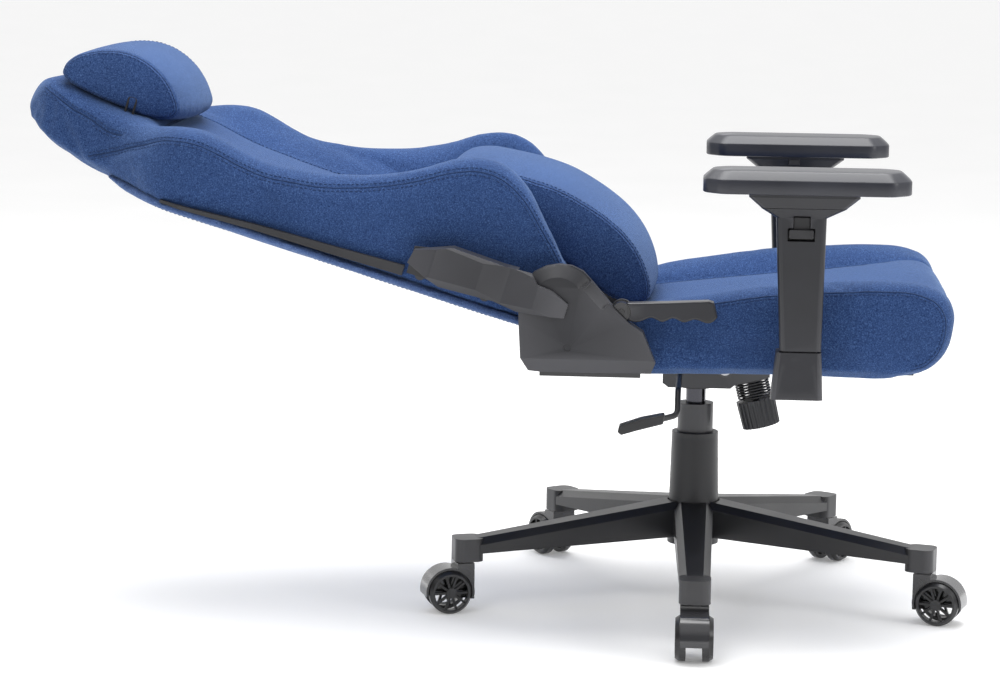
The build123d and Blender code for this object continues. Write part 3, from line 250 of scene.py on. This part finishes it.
def metal(name, colour, roughness, brushing, stretch):
    """Turned or ground steel, with marks drawn out along one way."""
    nodes = Nodes(name)
    marks = nodes.noise(brushing, 4, stretch=stretch)
    cloud = nodes.noise(22, 3)
    tone = nodes.ramp(marks, [(0.3, tuple(0.75 * c for c in colour)), (0.7, colour)])
    rough = nodes.math("ADD", nodes.math("MULTIPLY", cloud, 0.18), roughness - 0.09)
    nodes.set(Metallic=1.0)
    return nodes.set(Base_Color=tone, Roughness=rough, Normal=nodes.bump(marks, 0.00006, 0.35))


BLUE = fabric("blue_cloth", (0.009, 0.023, 0.080), (0.024, 0.058, 0.175), (0.070, 0.135, 0.31))
PILLOW_BLUE = fabric("pillow_cloth", (0.011, 0.027, 0.088), (0.028, 0.065, 0.19), (0.078, 0.145, 0.325))
REAR_BLUE = fabric("rear_cloth", (0.03, 0.055, 0.15), (0.06, 0.105, 0.25), (0.12, 0.19, 0.38))
THREAD = fabric("thread", (0.012, 0.026, 0.075), (0.018, 0.038, 0.105), (0.03, 0.06, 0.15), sheen=0.15)
MATERIALS = {
    # The second colour of each moulding is the painted highlight put on its convex edges.
    "base_metal": moulding("powder_coat", (0.013, 0.013, 0.015), (0.06, 0.06, 0.065), 0.36, 0.5, scale=1400),
    "dark_steel": moulding("painted_steel", (0.012, 0.012, 0.014), (0.09, 0.09, 0.095), 0.38, 0.35),
    "steel": metal("turned_steel", (0.55, 0.55, 0.57), 0.3, 300, (1, 1, 12)),
    "chrome": metal("black_chrome", (0.075, 0.075, 0.085), 0.2, 500, (1, 1, 20)),
    "black_plastic": moulding("black_moulding", (0.014, 0.014, 0.016), (0.05, 0.05, 0.055), 0.42, 0.4),
    "grey_plastic": moulding("grey_moulding", (0.013, 0.0135, 0.0175), (0.09, 0.09, 0.10), 0.36, 0.35),
    "gloss_black": moulding("gloss_moulding", (0.010, 0.010, 0.011), (0.04, 0.04, 0.045), 0.2, 0.1, 0.4),
    "wheel_nylon": moulding("nylon", (0.012, 0.012, 0.013), (0.06, 0.06, 0.065), 0.3, 0.2),
    "pad_foam": moulding("skinned_foam", (0.022, 0.0235, 0.032), (0.10, 0.10, 0.12), 0.36, 0.5, scale=700),
    "black_trim": moulding("trim_cloth", (0.011, 0.011, 0.013), (0.04, 0.04, 0.045), 0.55, 0.8, scale=500),
}


SPECIAL = {"seat_bolts": "dark_steel", "pivot_pins": "gloss_black", "recline_lever": "gloss_black"}


def paint(piece, material):
    """One material on the whole of a piece."""
    piece.data.materials.clear()
    piece.data.materials.append(material)


def paint_frame():
    """Each hard piece takes the finish of its slot."""
    for subpart in frame["record"]["subparts"]:
        name, finish = subpart["node"], subpart["material_slot"]
        if finish in MATERIALS:
            piece = frame["nodes"][name]
            paint(piece, MATERIALS[SPECIAL.get(name, finish)])


paint_frame()


# ------------------------------------------------------------------ curves and meshes
def curve(points):
    """Smooth function through (x, y) points whose x rises."""
    xs, ys = np.array(points, float).T
    slopes = np.gradient(ys, xs)

    def value(x):
        x = np.clip(x, xs[0], xs[-1])
        i = np.clip(np.searchsorted(xs, x) - 1, 0, len(xs) - 2)
        h = xs[i + 1] - xs[i]
        t = (x - xs[i]) / h
        ends = ys[i] * (1 + 2 * t) * (1 - t) ** 2 + ys[i + 1] * t * t * (3 - 2 * t)
        return ends + h * (slopes[i] * t * (1 - t) ** 2 + slopes[i + 1] * t * t * (t - 1))

    return value


def trace(points, step):
    """The smooth path through points, as evenly spaced points."""
    points = np.array(points, float)
    gaps = np.linalg.norm(np.diff(points, axis=0), axis=1)
    apart = np.concatenate([[True], gaps > 1e-6])
    points = points[apart]
    along = np.concatenate([[0], np.cumsum(gaps[gaps > 1e-6])])
    at = np.linspace(0, along[-1], max(2, round(along[-1] / step)) + 1)
    columns = [curve(np.stack([along, column], axis=1))(at) for column in points.T]
    return np.stack(columns, axis=1)


def smooth(low, high, x):
    """0 below low, 1 above high, and an S between them."""
    t = np.clip((x - low) / (high - low), 0, 1)
    return t * t * (3 - 2 * t)


def shoulder(distance, radius):
    """How far a rounded edge has dropped at this distance from the side, as a share of radius."""
    t = np.clip(1 - distance / radius, 0, 1)
    return 1 - np.sqrt(1 - t * t)


def new_piece(name, vertices, faces, material):
    """A mesh object from points in millimetres, its faces turned outwards."""
    mesh = bpy.data.meshes.new(name)
    mesh.from_pydata([tuple(MM * c for c in v) for v in vertices], [], faces)
    work = bmesh.new()
    work.from_mesh(mesh)
    bmesh.ops.recalc_face_normals(work, faces=work.faces)
    work.to_mesh(mesh)
    work.free()
    mesh.shade_smooth()
    piece = bpy.data.objects.new(name, mesh)
    bpy.context.scene.collection.objects.link(piece)
    paint(piece, material)
    return piece


def skin(name, rings, material, strips=False):
    """Closed mesh through rings that have the same number of points, with both ends filled:
    by one face, or by strips across a ring whose second half runs back beside its first."""
    count = len(rings[0])
    vertices = [v for ring in rings for v in ring]
    faces = [(a * count + i, a * count + (i + 1) % count, (a + 1) * count + (i + 1) % count,
              (a + 1) * count + i) for a in range(len(rings) - 1) for i in range(count)]
    for first in (0, (len(rings) - 1) * count):
        if strips:
            last = first + count - 1
            faces += [(first + k, first + k + 1, last - k - 1, last - k) for k in range(count // 2 - 1)]
        else:
            faces.append(tuple(range(first, first + count)))
    return new_piece(name, vertices, faces, material)


def settle(piece):
    """The piece's mesh becomes what its modifiers make of it."""
    graph = bpy.context.evaluated_depsgraph_get()
    graph.update()
    made = bpy.data.meshes.new_from_object(piece.evaluated_get(graph))
    old = piece.data
    piece.modifiers.clear()
    piece.data = made
    bpy.data.meshes.remove(old)
    made.shade_smooth()


def modify(piece, kind, **settings):
    modifier = piece.modifiers.new(kind.lower(), kind)
    for key, value in settings.items():
        setattr(modifier, key, value)
    return modifier


def points_of(piece):
    found = np.empty(len(piece.data.vertices) * 3, np.float32)
    piece.data.vertices.foreach_get("co", found)
    return found.reshape(-1, 3).astype(float)


def put_points(piece, points):
    piece.data.vertices.foreach_set("co", points.astype(np.float32).ravel())
    piece.data.update()


def distance_to(paths, points):
    """Distance from each point to the nearest of the paths, all in metres."""
    samples = np.concatenate(paths)
    tree = KDTree(len(samples))
    for i, sample in enumerate(samples):
        tree.insert(sample, i)
    tree.balance()
    return np.array([tree.find(p)[2] for p in points])


# ------------------------------------------------------------------ stuffing and seams
SIM_FRAMES = 20
PIN_WIDTH = 0.007


def inflate(piece, seams, cap, pressure):
    """Cloth under pressure, held along its seams; no point moves further than cap."""
    start = points_of(piece)
    group = piece.vertex_groups.new(name="held")
    held = np.exp(-(distance_to(seams, start) / PIN_WIDTH) ** 2)
    for i in np.nonzero(held > 0.02)[0]:
        group.add([int(i)], float(held[i]), "REPLACE")
    cloth = modify(piece, "CLOTH")
    settings = cloth.settings
    settings.quality = 5
    settings.mass = 0.3
    settings.tension_stiffness = 18
    settings.compression_stiffness = 18
    settings.shear_stiffness = 8
    settings.bending_stiffness = 1.5
    settings.use_pressure = True
    settings.uniform_pressure_force = pressure
    settings.vertex_group_mass = "held"
    settings.pin_stiffness = 1.0
    settings.effector_weights.gravity = 0
    cloth.collision_settings.use_collision = False
    cloth.point_cache.frame_end = SIM_FRAMES
    scene = bpy.context.scene
    for number in range(1, SIM_FRAMES + 1):
        scene.frame_set(number)
    end = bpy.data.meshes.new_from_object(piece.evaluated_get(bpy.context.evaluated_depsgraph_get()))
    found = np.empty(len(end.vertices) * 3, np.float32)
    end.vertices.foreach_get("co", found)
    bpy.data.meshes.remove(end)
    piece.modifiers.clear()
    piece.vertex_groups.clear()
    scene.frame_set(1)
    move = found.reshape(-1, 3) - start
    length = np.linalg.norm(move, axis=1, keepdims=True) + 1e-9
    put_points(piece, start + move * cap * np.tanh(length / cap) / length)


def stuff(piece, voxel, seams, cap, pressure=4.0):
    """A cushion from a plain closed form: even mesh, swollen between its seams, then refined."""
    modify(piece, "REMESH", mode="VOXEL", voxel_size=voxel, use_smooth_shade=True)
    settle(piece)
    modify(piece, "SMOOTH", factor=0.5, iterations=4)
    settle(piece)
    inflate(piece, seams, cap, pressure)
    modify(piece, "SMOOTH", factor=0.5, iterations=2)
    settle(piece)
    modify(piece, "SUBSURF", levels=1, render_levels=1)
    settle(piece)


def groove(piece, seams, width=0.0032, depth=0.0022):
    """Press the cloth in along its seams."""
    points = points_of(piece)
    normals = np.empty(len(points) * 3, np.float32)
    piece.data.vertices.foreach_get("normal", normals)
    share = np.exp(-(distance_to(seams, points) / width) ** 2)
    put_points(piece, points - normals.reshape(-1, 3) * (share * depth)[:, None])


def lay_on(piece, path, lift=0.0):
    """The path moved on to the piece's surface, with the surface's normals there."""
    tree = BVHTree.FromObject(piece, bpy.context.evaluated_depsgraph_get())
    hits = [tree.find_nearest(Vector(p)) for p in path]
    normals = np.array([hit[1] for hit in hits])
    for _ in range(3):
        normals[1:-1] = (normals[:-2] + normals[1:-1] + normals[2:]) / 3
    normals /= np.linalg.norm(normals, axis=1, keepdims=True)
    places = np.array([hit[0] for hit in hits])
    for _ in range(2):
        places[1:-1] = (places[:-2] + 2 * places[1:-1] + places[2:]) / 4
    return places + lift * normals, normals


def tube_rings(places, radii, normals, sides=6):
    """Rings of points round a path, as (vertices, faces) in metres; the ends close to a point."""
    ahead = np.gradient(places, axis=0)
    ahead /= np.linalg.norm(ahead, axis=1, keepdims=True) + 1e-12
    across = np.cross(ahead, normals)
    across /= np.linalg.norm(across, axis=1, keepdims=True) + 1e-12
    up = np.cross(across, ahead)
    vertices, faces = [], []
    for place, radius, a, u in zip(places, radii, across, up):
        for k in range(sides):
            angle = math.tau * k / sides
            vertices.append(place + radius * (math.cos(angle) * a + math.sin(angle) * u))
    for r in range(len(places) - 1):
        for k in range(sides):
            n = (k + 1) % sides
            faces.append((r * sides + k, r * sides + n, (r + 1) * sides + n, (r + 1) * sides + k))
    faces.append(tuple(range(sides)))
    faces.append(tuple(range(len(vertices) - sides, len(vertices))))
    return vertices, faces


STITCH = 0.0062           # from one stitch to the next
STITCH_LENGTH = 0.0046
THREAD_RADIUS = 0.00055
SEAM_RADIUS = 0.0011


def sew(name, cloth, seams, rows=(-0.0045, 0.0045), body=None):
    """Thread of the seams: a sunken join with a row of stitches at each distance in rows from it."""
    vertices, faces = [], []

    def include(part):
        offset = len(vertices)
        vertices.extend(part[0])
        faces.extend(tuple(offset + i for i in face) for face in part[1])

    for seam in seams:
        places, normals = lay_on(cloth, trace(seam, 0.003))
        include(tube_rings(places - 0.0004 * normals, np.full(len(places), SEAM_RADIUS), normals, 5))
        ahead = np.gradient(places, axis=0)
        ahead /= np.linalg.norm(ahead, axis=1, keepdims=True) + 1e-12
        across = np.cross(ahead, normals)
        for row in rows:
            line, upward = lay_on(cloth, trace(places + row * across, 0.0008))
            gaps = np.linalg.norm(np.diff(line, axis=0), axis=1)
            along = np.concatenate([[0], np.cumsum(gaps)])
            for begin in np.arange(0.003, along[-1] - STITCH, STITCH):
                at = begin + STITCH_LENGTH * np.array([0, 0.2, 0.5, 0.8, 1.0])
                picked = np.searchsorted(along, at).clip(0, len(line) - 1)
                rise = np.array([-0.0006, 0.0002, 0.0005, 0.0002, -0.0006])[:, None]
                stitch = line[picked] + rise * upward[picked]
                radii = THREAD_RADIUS * np.array([0.6, 1, 1, 1, 0.6])
                include(tube_rings(stitch, radii, upward[picked], 5))
    thread = new_piece(name, [tuple(v / MM) for v in np.array(vertices)], faces, THREAD)
    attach(thread, body)
    return thread


# ------------------------------------------------------------------ seat cushion
SEAT_HALF = 250.0
SEAT_LOW, SEAT_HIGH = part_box("seat_cushion")
SEAT_BOTTOM = 362.6
SIDE_PROFILE = [(-121, 434), (-62, 454), (24, 469), (105, 481), (187, 487), (250, 489), (300, 485),
                (328, 473), (341, 449), (340, 425), (334, 400), (317, 378), (298, 368), (272, 364)]
WELL_PROFILE = [(-125, 417), (-60, 427), (0, 434), (111, 446), (185, 454), (250, 463), (300, 472),
                (322, 470), (343, 452)]
VALLEY = 165.0            # where the bolster's inner panel meets the middle one


def seat_point(x, z, y):
    """A point of the side profile moved to where it is at this distance from the middle."""
    away = abs(y)
    out = z
    if z > 400:
        into_well = 1 - smooth(150, 212, away)
        crown = 5 * (1 - (away / VALLEY) ** 2) * smooth(-110, -20, x) if away < VALLEY else 0
        out = z + (min(z, float(WELL(x))) - z + crown) * into_well
    side = SEAT_HALF - away
    middle = 420
    out -= (26 if z > middle else -7) * shoulder(side, 30) * (1 if z > 400 or z < 372 else 0)
    nose = shoulder(side, 34) * 22 * smooth(230, 330, x)
    return (x - nose, y, max(out, SEAT_BOTTOM))


WELL = curve(WELL_PROFILE)
STATIONS = [0, 1, 3, 6, 10, 15, 21, 28]


def across(half, step=11):
    """Distances from the middle plane, from one side to the other, closer together at the sides."""
    inner = half - 28
    count = round(2 * inner / step)
    middle = list(np.linspace(-inner, inner, count + 1))
    return [s - half for s in STATIONS[:-1]] + middle + [half - s for s in reversed(STATIONS[:-1])]


def make_seat():
    top = trace(SIDE_PROFILE, 8)
    end = top[-1]
    foot = [(end[0] - (end[0] + 121) * t, SEAT_BOTTOM) for t in np.linspace(0.03, 1, 46)]
    rear = [(-121, z) for z in np.linspace(SEAT_BOTTOM, 434, 10)[1:-1]]
    outline = [tuple(p) for p in top] + foot + rear
    rings = [[seat_point(x, z, y) for x, z in outline] for y in across(SEAT_HALF)]
    seat = skin("seat_cover", rings, BLUE)
    sides, valleys, fronts, hems = [], [], [], []
    side_line = [(-112, 430), (-62, 445), (28, 462), (105, 476), (187, 481), (243, 483), (290, 479),
                 (318, 466), (331, 447), (331, 425), (324, 400), (309, 381), (285, 371)]
    hem_line = [(-110, 368), (0, 368), (130, 368), (250, 369), (285, 371)]
    for s in (-1, 1):
        sides.append(MM * np.array([(x, s * 251, z) for x, z in trace(side_line, 4)]))
        hems.append(MM * np.array([(x, s * 250, z) for x, z in trace(hem_line, 4)]))
        line = [(x, s * VALLEY, float(WELL(x))) for x in np.linspace(-112, 300, 90)]
        line += [(x, s * (VALLEY + 1), z) for x, z in trace([(306, 476), (330, 466), (342, 445)], 4)]
        valleys.append(MM * np.array(line))
        fronts.append(MM * np.array([(x, s * (VALLEY + 1), z) for x, z in
                                     trace([(342, 445), (341, 425), (334, 400), (317, 378)], 4)]))
    stuff(seat, 0.0055, sides + valleys + fronts, 0.007)
    groove(seat, sides, 0.0034, 0.0022)
    groove(seat, valleys, 0.006, 0.004)
    groove(seat, fronts, 0.004, 0.0022)
    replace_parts(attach(seat, "seat"), "seat_cushion")
    sew("seat_side_seams", seat, sides, rows=(0.0045,), body="seat")
    sew("seat_panel_seams", seat, [np.concatenate([v, f]) for v, f in zip(valleys, fronts)],
        rows=(), body="seat")
    return seat


# ------------------------------------------------------------------ reclining back
RECLINE = math.radians(17)
PIVOT = (-182.0, 458.0)
BACK_REAR = -43.0


def on_back(u, v, w):
    """A point of the back: u along it from the hinge, v out of its front, w to the left."""
    return (PIVOT[0] - u * math.cos(RECLINE) + v * math.sin(RECLINE), w,
            PIVOT[1] + u * math.sin(RECLINE) + v * math.cos(RECLINE))


def back_path(points, step=4):
    """A smooth path through (u, v, w) points, in metres in the frame's axes."""
    return MM * np.array([on_back(*p) for p in trace(points, step)])


CREST = [(-38, 6), (-22, 30), (0, 49), (26, 76), (50, 98), (74, 121), (99, 137), (121, 145), (150, 146),
         (191, 131), (225, 110), (268, 88), (313, 71), (350, 60), (385, 54), (427, 50), (455, 53),
         (489, 60), (520, 64), (548, 60), (577, 52), (606, 43), (650, 45), (700, 50), (738, 56),
         (765, 54), (779, 42), (785, 28), (787, 20)]
REAR = [(-38, -42.6), (600, -42.6), (655, -42.6), (677, -38), (708, -31), (742, -22), (768, -11),
        (781, 0), (787, 12)]
CHANNEL = curve([(-60, 8), (0, 27), (100, 30), (220, 29), (300, 22), (380, 18), (440, 20), (510, 25),
                 (545, 32), (594, 39), (620, 43)])
HALF_WIDTH = curve([(-40, 224), (0, 236), (60, 245), (150, 249), (204, 250), (300, 249), (420, 243),
                    (480, 252), (520, 258), (560, 250), (600, 214), (640, 178), (680, 164),
                    (740, 150), (776, 126), (788, 108)])
FIN = 172.0               # inner face of a wing where it stands beside the lumbar pillow


def back_point(u, v, share):
    """A point of the crest's profile at this share of the half width."""
    half = float(HALF_WIDTH(u))
    w = share * half
    away = abs(w)
    out = v
    if v > -30 and u < 640:
        tall = smooth(70, 110, v) * smooth(260, 190, u)
        inner = 140 + (FIN - 3 - 140) * tall
        crest_at = 218 - 6 * tall
        rise = smooth(inner, crest_at, away) ** (1 - 0.45 * tall)
        floor = min(v, float(CHANNEL(u)) + 3 * (1 - (away / FIN) ** 2) if away < FIN else float(CHANNEL(u)))
        blend = smooth(640, 585, u)
        out = v + (floor + (v - floor) * rise - v) * blend
    depth = max(v - BACK_REAR, 20)
    side = half - away
    if v > 0:
        out -= min(30, 0.4 * depth) * shoulder(side, 34)
    elif v < -15:
        out += 6 * shoulder(side, 8)
    tip = smooth(700, 780, u) * 8 * shoulder(side, 40)
    return on_back(u - tip, out, w)


def make_back():
    crest_v, rear_v = curve(CREST), curve(REAR)
    along = np.concatenate([np.linspace(-38, 740, 98), np.linspace(746, 779, 8), [782, 784.5, 786.5, 787]])
    outline = [(u, float(crest_v(u))) for u in along] + [(u, float(rear_v(u))) for u in reversed(along)]
    rings = [[back_point(u, v, w / 250) for u, v in outline] for w in across(250)]
    back = skin("back_cover", rings, BLUE, strips=True)
    crests, heads, inners, yokes = [], [], [], []
    for s in (-1, 1):
        line = [(u, float(crest_v(u)) - 15, s * (float(HALF_WIDTH(u)) + 1)) for u in range(-14, 560, 14)]
        line += [(u, v, s * (float(HALF_WIDTH(u)) + 1)) for u, v in
                 [(572, 36), (592, 22), (623, 2), (655, -18), (672, -28)]]
        crests.append(back_path(line))
        heads.append(back_path([(632, 18, s * 183), (655, 15, s * 173), (679, 22, s * 165),
                                (711, 28, s * 157), (744, 38, s * 148), (770, 46, s * 134)]))
        inners.append(back_path([(u, float(CHANNEL(u)) + 1, s * w) for u, w in
                                 [(230, 150), (300, 142), (380, 140), (440, 140), (510, 142),
                                  (555, 140), (590, 134)]]))
    yokes.append(back_path([(590, 39, w) for w in np.linspace(-134, 134, 40)]))
    stuff(back, 0.0058, crests + heads + inners + yokes, 0.008)
    groove(back, crests + heads, 0.0034, 0.0022)
    groove(back, inners + yokes, 0.004, 0.0025)
    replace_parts(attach(back, "back"), "back_cushion")
    sew("back_crest_seams", back, crests + heads, rows=(-0.005, 0.005), body="back")
    sew("back_panel_seams", back, inners + yokes, rows=(0.004,), body="back")
    return back


def make_rear_panel():
    """Upholstered cover of the back's rear, with a turned edge all round."""
    rings = []
    levels = [(2.5, -43.5, 0), (1.0, -46.5, 0), (2.5, -51.5, 0), (8, -54.5, 0), (16, -56, 0)]
    plan = [(u, float(HALF_WIDTH(u))) for u in np.linspace(-30, 648, 84)]
    for inset, v, _ in levels:
        low, high = -32 + inset, 650 - inset
        right = [(min(max(u, low), high), -(w - 2 - inset)) for u, w in plan]
        left = [(u, -w) for u, w in reversed(right)]
        rings.append([on_back(u, v + 9 * smooth(600, 652, u) * (-v - 43) / 13, w)
                      for u, w in right + left])
    panel = skin("rear_cover", rings, REAR_BLUE, strips=True)
    seams = [back_path([(u, -56, s * (float(HALF_WIDTH(u)) - 34)) for u in range(20, 560, 20)]
                       + [(585, -55, s * 170), (600, -54, s * 120)]) for s in (-1, 1)]
    seams.append(back_path([(600, -54, w) for w in np.linspace(-120, 120, 30)]))
    seams.append(back_path([(20, -56, w) for w in np.linspace(-205, 205, 50)]))
    stuff(panel, 0.006, seams, 0.003)
    groove(panel, seams, 0.004, 0.0022)
    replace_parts(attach(panel, "back"), "back_panel")
    sew("rear_seams", panel, seams, rows=(0.0045,), body="back")


# ------------------------------------------------------------------ pillows
def make_pillow(name, outline, half, seam_at, low, taper, draw, body, node):
    """A bolster between two end panels: outline is its (u, v) side view at the middle. Towards its
    ends its height above low falls by the share taper, and its length from its top by draw."""
    loop = trace(outline, 6)[:-1]
    top_u = max(u for u, _ in outline)

    def ring(w):
        t = min(abs(w) / seam_at, 1)
        fall = 1 - taper * t ** 2.4
        pull = 1 - draw * t ** 2.4
        side = np.array([(top_u + (u - top_u) * pull, low + (v - low) * fall) for u, v in loop])
        bulge = max(abs(w) - seam_at, 0) / (half - seam_at)
        side += (side.mean(axis=0) - side) * 0.5 * bulge ** 2
        return [on_back(u, v, w) for u, v in side]

    ends = [half, half - 0.3 * (half - seam_at), half - 0.7 * (half - seam_at), seam_at]
    middle = list(np.linspace(-seam_at, seam_at, round(2 * seam_at / 10)))
    stations = [-e for e in ends[:-1]] + middle + [e for e in reversed(ends[:-1])]
    pillow = skin(name, [ring(w) for w in stations], PILLOW_BLUE)
    seams = []
    for s in (-1, 1):
        seam = MM * np.array(ring(s * seam_at))
        seams.append(np.concatenate([seam, seam[:1]]))
    stuff(pillow, 0.0045, seams, 0.006)
    groove(pillow, seams, 0.003, 0.002)
    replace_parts(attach(pillow, body), node)
    sew(name + "_seams", pillow, seams, rows=(0.0045, -0.0045)[:1 + (body == "lumbar")], body=body)
    return pillow


HEAD_OUTLINE = [(606, 44), (650, 48), (700, 53), (733, 60), (743, 66), (744, 76), (734, 95), (712, 110),
                (685, 121), (650, 126), (614, 119), (586, 104), (567, 85), (557, 66), (563, 55),
                (583, 47), (606, 44)]
LUMBAR_OUTLINE = [(203, 38), (206, 68), (204, 98), (195, 119), (168, 135), (127, 142), (77, 146),
                  (44, 145), (10, 138), (-20, 129), (-52, 115), (-82, 93), (-101, 71), (-112, 53),
                  (-119, 36), (-118, 20), (-109, 10), (-92, 6), (-66, 9), (-44, 17), (-22, 27),
                  (0, 34), (60, 35), (150, 35), (190, 35), (203, 38)]


def make_buckles():
    """The loop of black elastic at each end of the neck pillow, where its strap is hooked on."""
    for side, s in (("right", -1), ("left", 1)):
        corners = round_corners([(644, 66), (644, 40), (633, 40), (633, 66)], 4, gaps=4)
        loop = MM * np.array([on_back(u, v, s * 137.5) for u, v in corners + corners[:1]])
        normals = np.tile((0.0, float(s), 0.0), (len(loop), 1))
        vertices, faces = tube_rings(loop, np.full(len(loop), 0.0016), normals, 8)
        buckle = new_piece(f"{side}_pillow_loop", [tuple(v / MM) for v in vertices], faces,
                           MATERIALS["black_trim"])
        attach(buckle, "back")


def make_spring():
    """The coil round the tension bolt, which the knob presses together as the seat tilts back."""
    tilt = math.radians(14)
    along = np.array([math.sin(tilt), 0, -math.cos(tilt)])
    across = np.array([math.cos(tilt), 0, math.sin(tilt)])
    start, height, pitch, radius = 5.65, 32.7, 3.9, 22.9
    turns = np.linspace(0, math.tau * height / pitch, 400)
    outward = np.outer(np.cos(turns), across) + np.outer(np.sin(turns), (0, 1, 0))
    path = np.array([74, 0, 330]) + np.outer(start + turns * pitch / math.tau, along) + radius * outward
    vertices, faces = tube_rings(MM * path, np.full(len(path), 0.00155), outward, 10)
    spring = new_piece("compression_spring", [tuple(v / MM) for v in vertices], faces,
                       MATERIALS["dark_steel"])
    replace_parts(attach(spring, "mechanism"), "tension_spring")
    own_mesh(spring)


def make_arm_pads():
    """Moulded foam pads: a straight band, a sloping rim and a slightly crowned top."""
    levels = [(2, 611.2), (0.6, 611.9), (0, 613), (0, 628.6), (0.3, 629.5), (1.1, 630.3), (6, 634.9),
              (11, 639.2), (12.3, 640.2), (14, 640.8), (20, 641.3), (32, 641.8)]
    length, width, corner = 269.0, 99.0, 24.0
    for side, s in (("right", -1), ("left", 1)):
        centre = (140.0, s * 292.0)
        rings = []
        for inset, z in levels:
            a, b = length / 2 - inset, width / 2 - inset
            cut = max(corner - 0.45 * inset, 8)
            corners = [(a, b - cut), (a - cut, b), (cut - a, b), (-a, b - cut),
                       (-a, cut - b), (cut - a, -b), (a - cut, -b), (a, cut - b)]
            rings.append([(centre[0] + x, centre[1] + y, z) for x, y in round_corners(corners, 9)])
        pad = skin(f"{side}_arm_cushion", rings, MATERIALS["pad_foam"])
        pad.data.set_sharp_from_angle(angle=math.radians(50))
        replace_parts(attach(pad, f"{side}_arm_rest"), f"{side}_arm_pad")


def round_corners(corners, radius, steps=6, gaps=12):
    """The outline with a curve at each corner and even points between."""
    made = []
    count = len(corners)
    for i in range(count):
        before, here, after = (np.array(corners[(i + k) % count], float) for k in (-1, 0, 1))
        back, ahead = before - here, after - here
        reach = min(radius, 0.45 * np.linalg.norm(back), 0.45 * np.linalg.norm(ahead))
        first = here + back / np.linalg.norm(back) * reach
        last = here + ahead / np.linalg.norm(ahead) * reach
        for t in np.linspace(0, 1, steps + 1):
            made.append((1 - t) ** 2 * first + 2 * t * (1 - t) * here + t * t * last)
        following = np.array(corners[(i + 2) % count], float) - after
        reach_next = min(radius, 0.45 * np.linalg.norm(ahead), 0.45 * np.linalg.norm(following))
        target = after - ahead / np.linalg.norm(ahead) * reach_next
        made += [last + (target - last) * t for t in np.linspace(0, 1, gaps + 1)[1:-1]]
    return [tuple(p) for p in made]


make_seat()
make_back()
make_rear_panel()
make_pillow("neck_pillow", HEAD_OUTLINE, 139, 133, 45, 0.05, 0.10, "back", "head_pillow")
make_pillow("waist_pillow", LUMBAR_OUTLINE, 163, 157, 35, 0.15, 0.02, "lumbar", "lumbar_pillow")
make_buckles()
make_spring()
make_arm_pads()
for soft in ("waist_pillow", "waist_pillow_seams"):
    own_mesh(bpy.data.objects[soft])


# ------------------------------------------------------------------ floor and light
def make_floor():
    size, drop = 30.0, 0.0
    floor = new_piece("floor", [(x * size / MM, y * size / MM, drop) for x, y in
                                ((-1, -1), (1, -1), (1, 1), (-1, 1))], [(0, 1, 2, 3)], BLUE)
    nodes = Nodes("pale_floor")
    tone = nodes.ramp(nodes.noise(3, 4), [(0.3, 0.86), (0.7, 0.89)])
    nodes.set(Emission_Color=(1, 1, 1, 1), Emission_Strength=0.16)
    paint(floor, nodes.set(Base_Color=tone, Roughness=0.9))


def lamp(name, place, target, size, power, colour=(1, 1, 1)):
    data = bpy.data.lights.new(name, "AREA")
    data.shape = "RECTANGLE"
    data.size, data.size_y = size
    data.energy = power
    data.color = colour
    light = bpy.data.objects.new(name, data)
    way = Vector(target) - Vector(place)
    light.matrix_world = Matrix.Translation(place) @ way.to_track_quat("-Z", "Y").to_matrix().to_4x4()
    bpy.context.scene.collection.objects.link(light)


def make_light():
    world = bpy.data.worlds.new("studio")
    bpy.context.scene.world = world
    world.use_nodes = True
    tree = world.node_tree
    ways = tree.nodes.new("ShaderNodeTexCoord")
    split = tree.nodes.new("ShaderNodeSeparateXYZ")
    tree.links.new(ways.outputs["Generated"], split.inputs[0])
    shades = []
    for way, low, high, dark in (("Y", -0.25, 0.45, 0.22), ("Z", 0.25, 0.75, 0.0)):
        shade = tree.nodes.new("ShaderNodeMapRange")
        for socket, value in zip(("From Min", "From Max", "To Min", "To Max"), (low, high, dark, 1.0)):
            shade.inputs[socket].default_value = value
        tree.links.new(split.outputs[way], shade.inputs["Value"])
        shades.append(shade.outputs["Result"])
    brighter = tree.nodes.new("ShaderNodeMath")
    brighter.operation = "MAXIMUM"
    for shade, socket in zip(shades, brighter.inputs):
        tree.links.new(shade, socket)
    tree.links.new(brighter.outputs["Value"], tree.nodes["Background"].inputs["Color"])
    lamp("overhead", (-0.1, 0.3, 3.0), (0, 0, 0.4), (2.6, 2.2), 108)
    lamp("key", (-1.6, -2.8, 2.6), (0, 0, 0.5), (1.2, 1.0), 14)
    lamp("front", (2.8, -1.4, 1.6), (0, 0, 0.4), (1.0, 1.4), 26)
    lamp("rear", (-2.6, 2.0, 1.4), (0, 0, 0.5), (1.2, 1.2), 12)
    settings = bpy.context.scene.view_settings
    settings.view_transform = "Standard"
    settings.look = "None"


make_floor()
make_light()
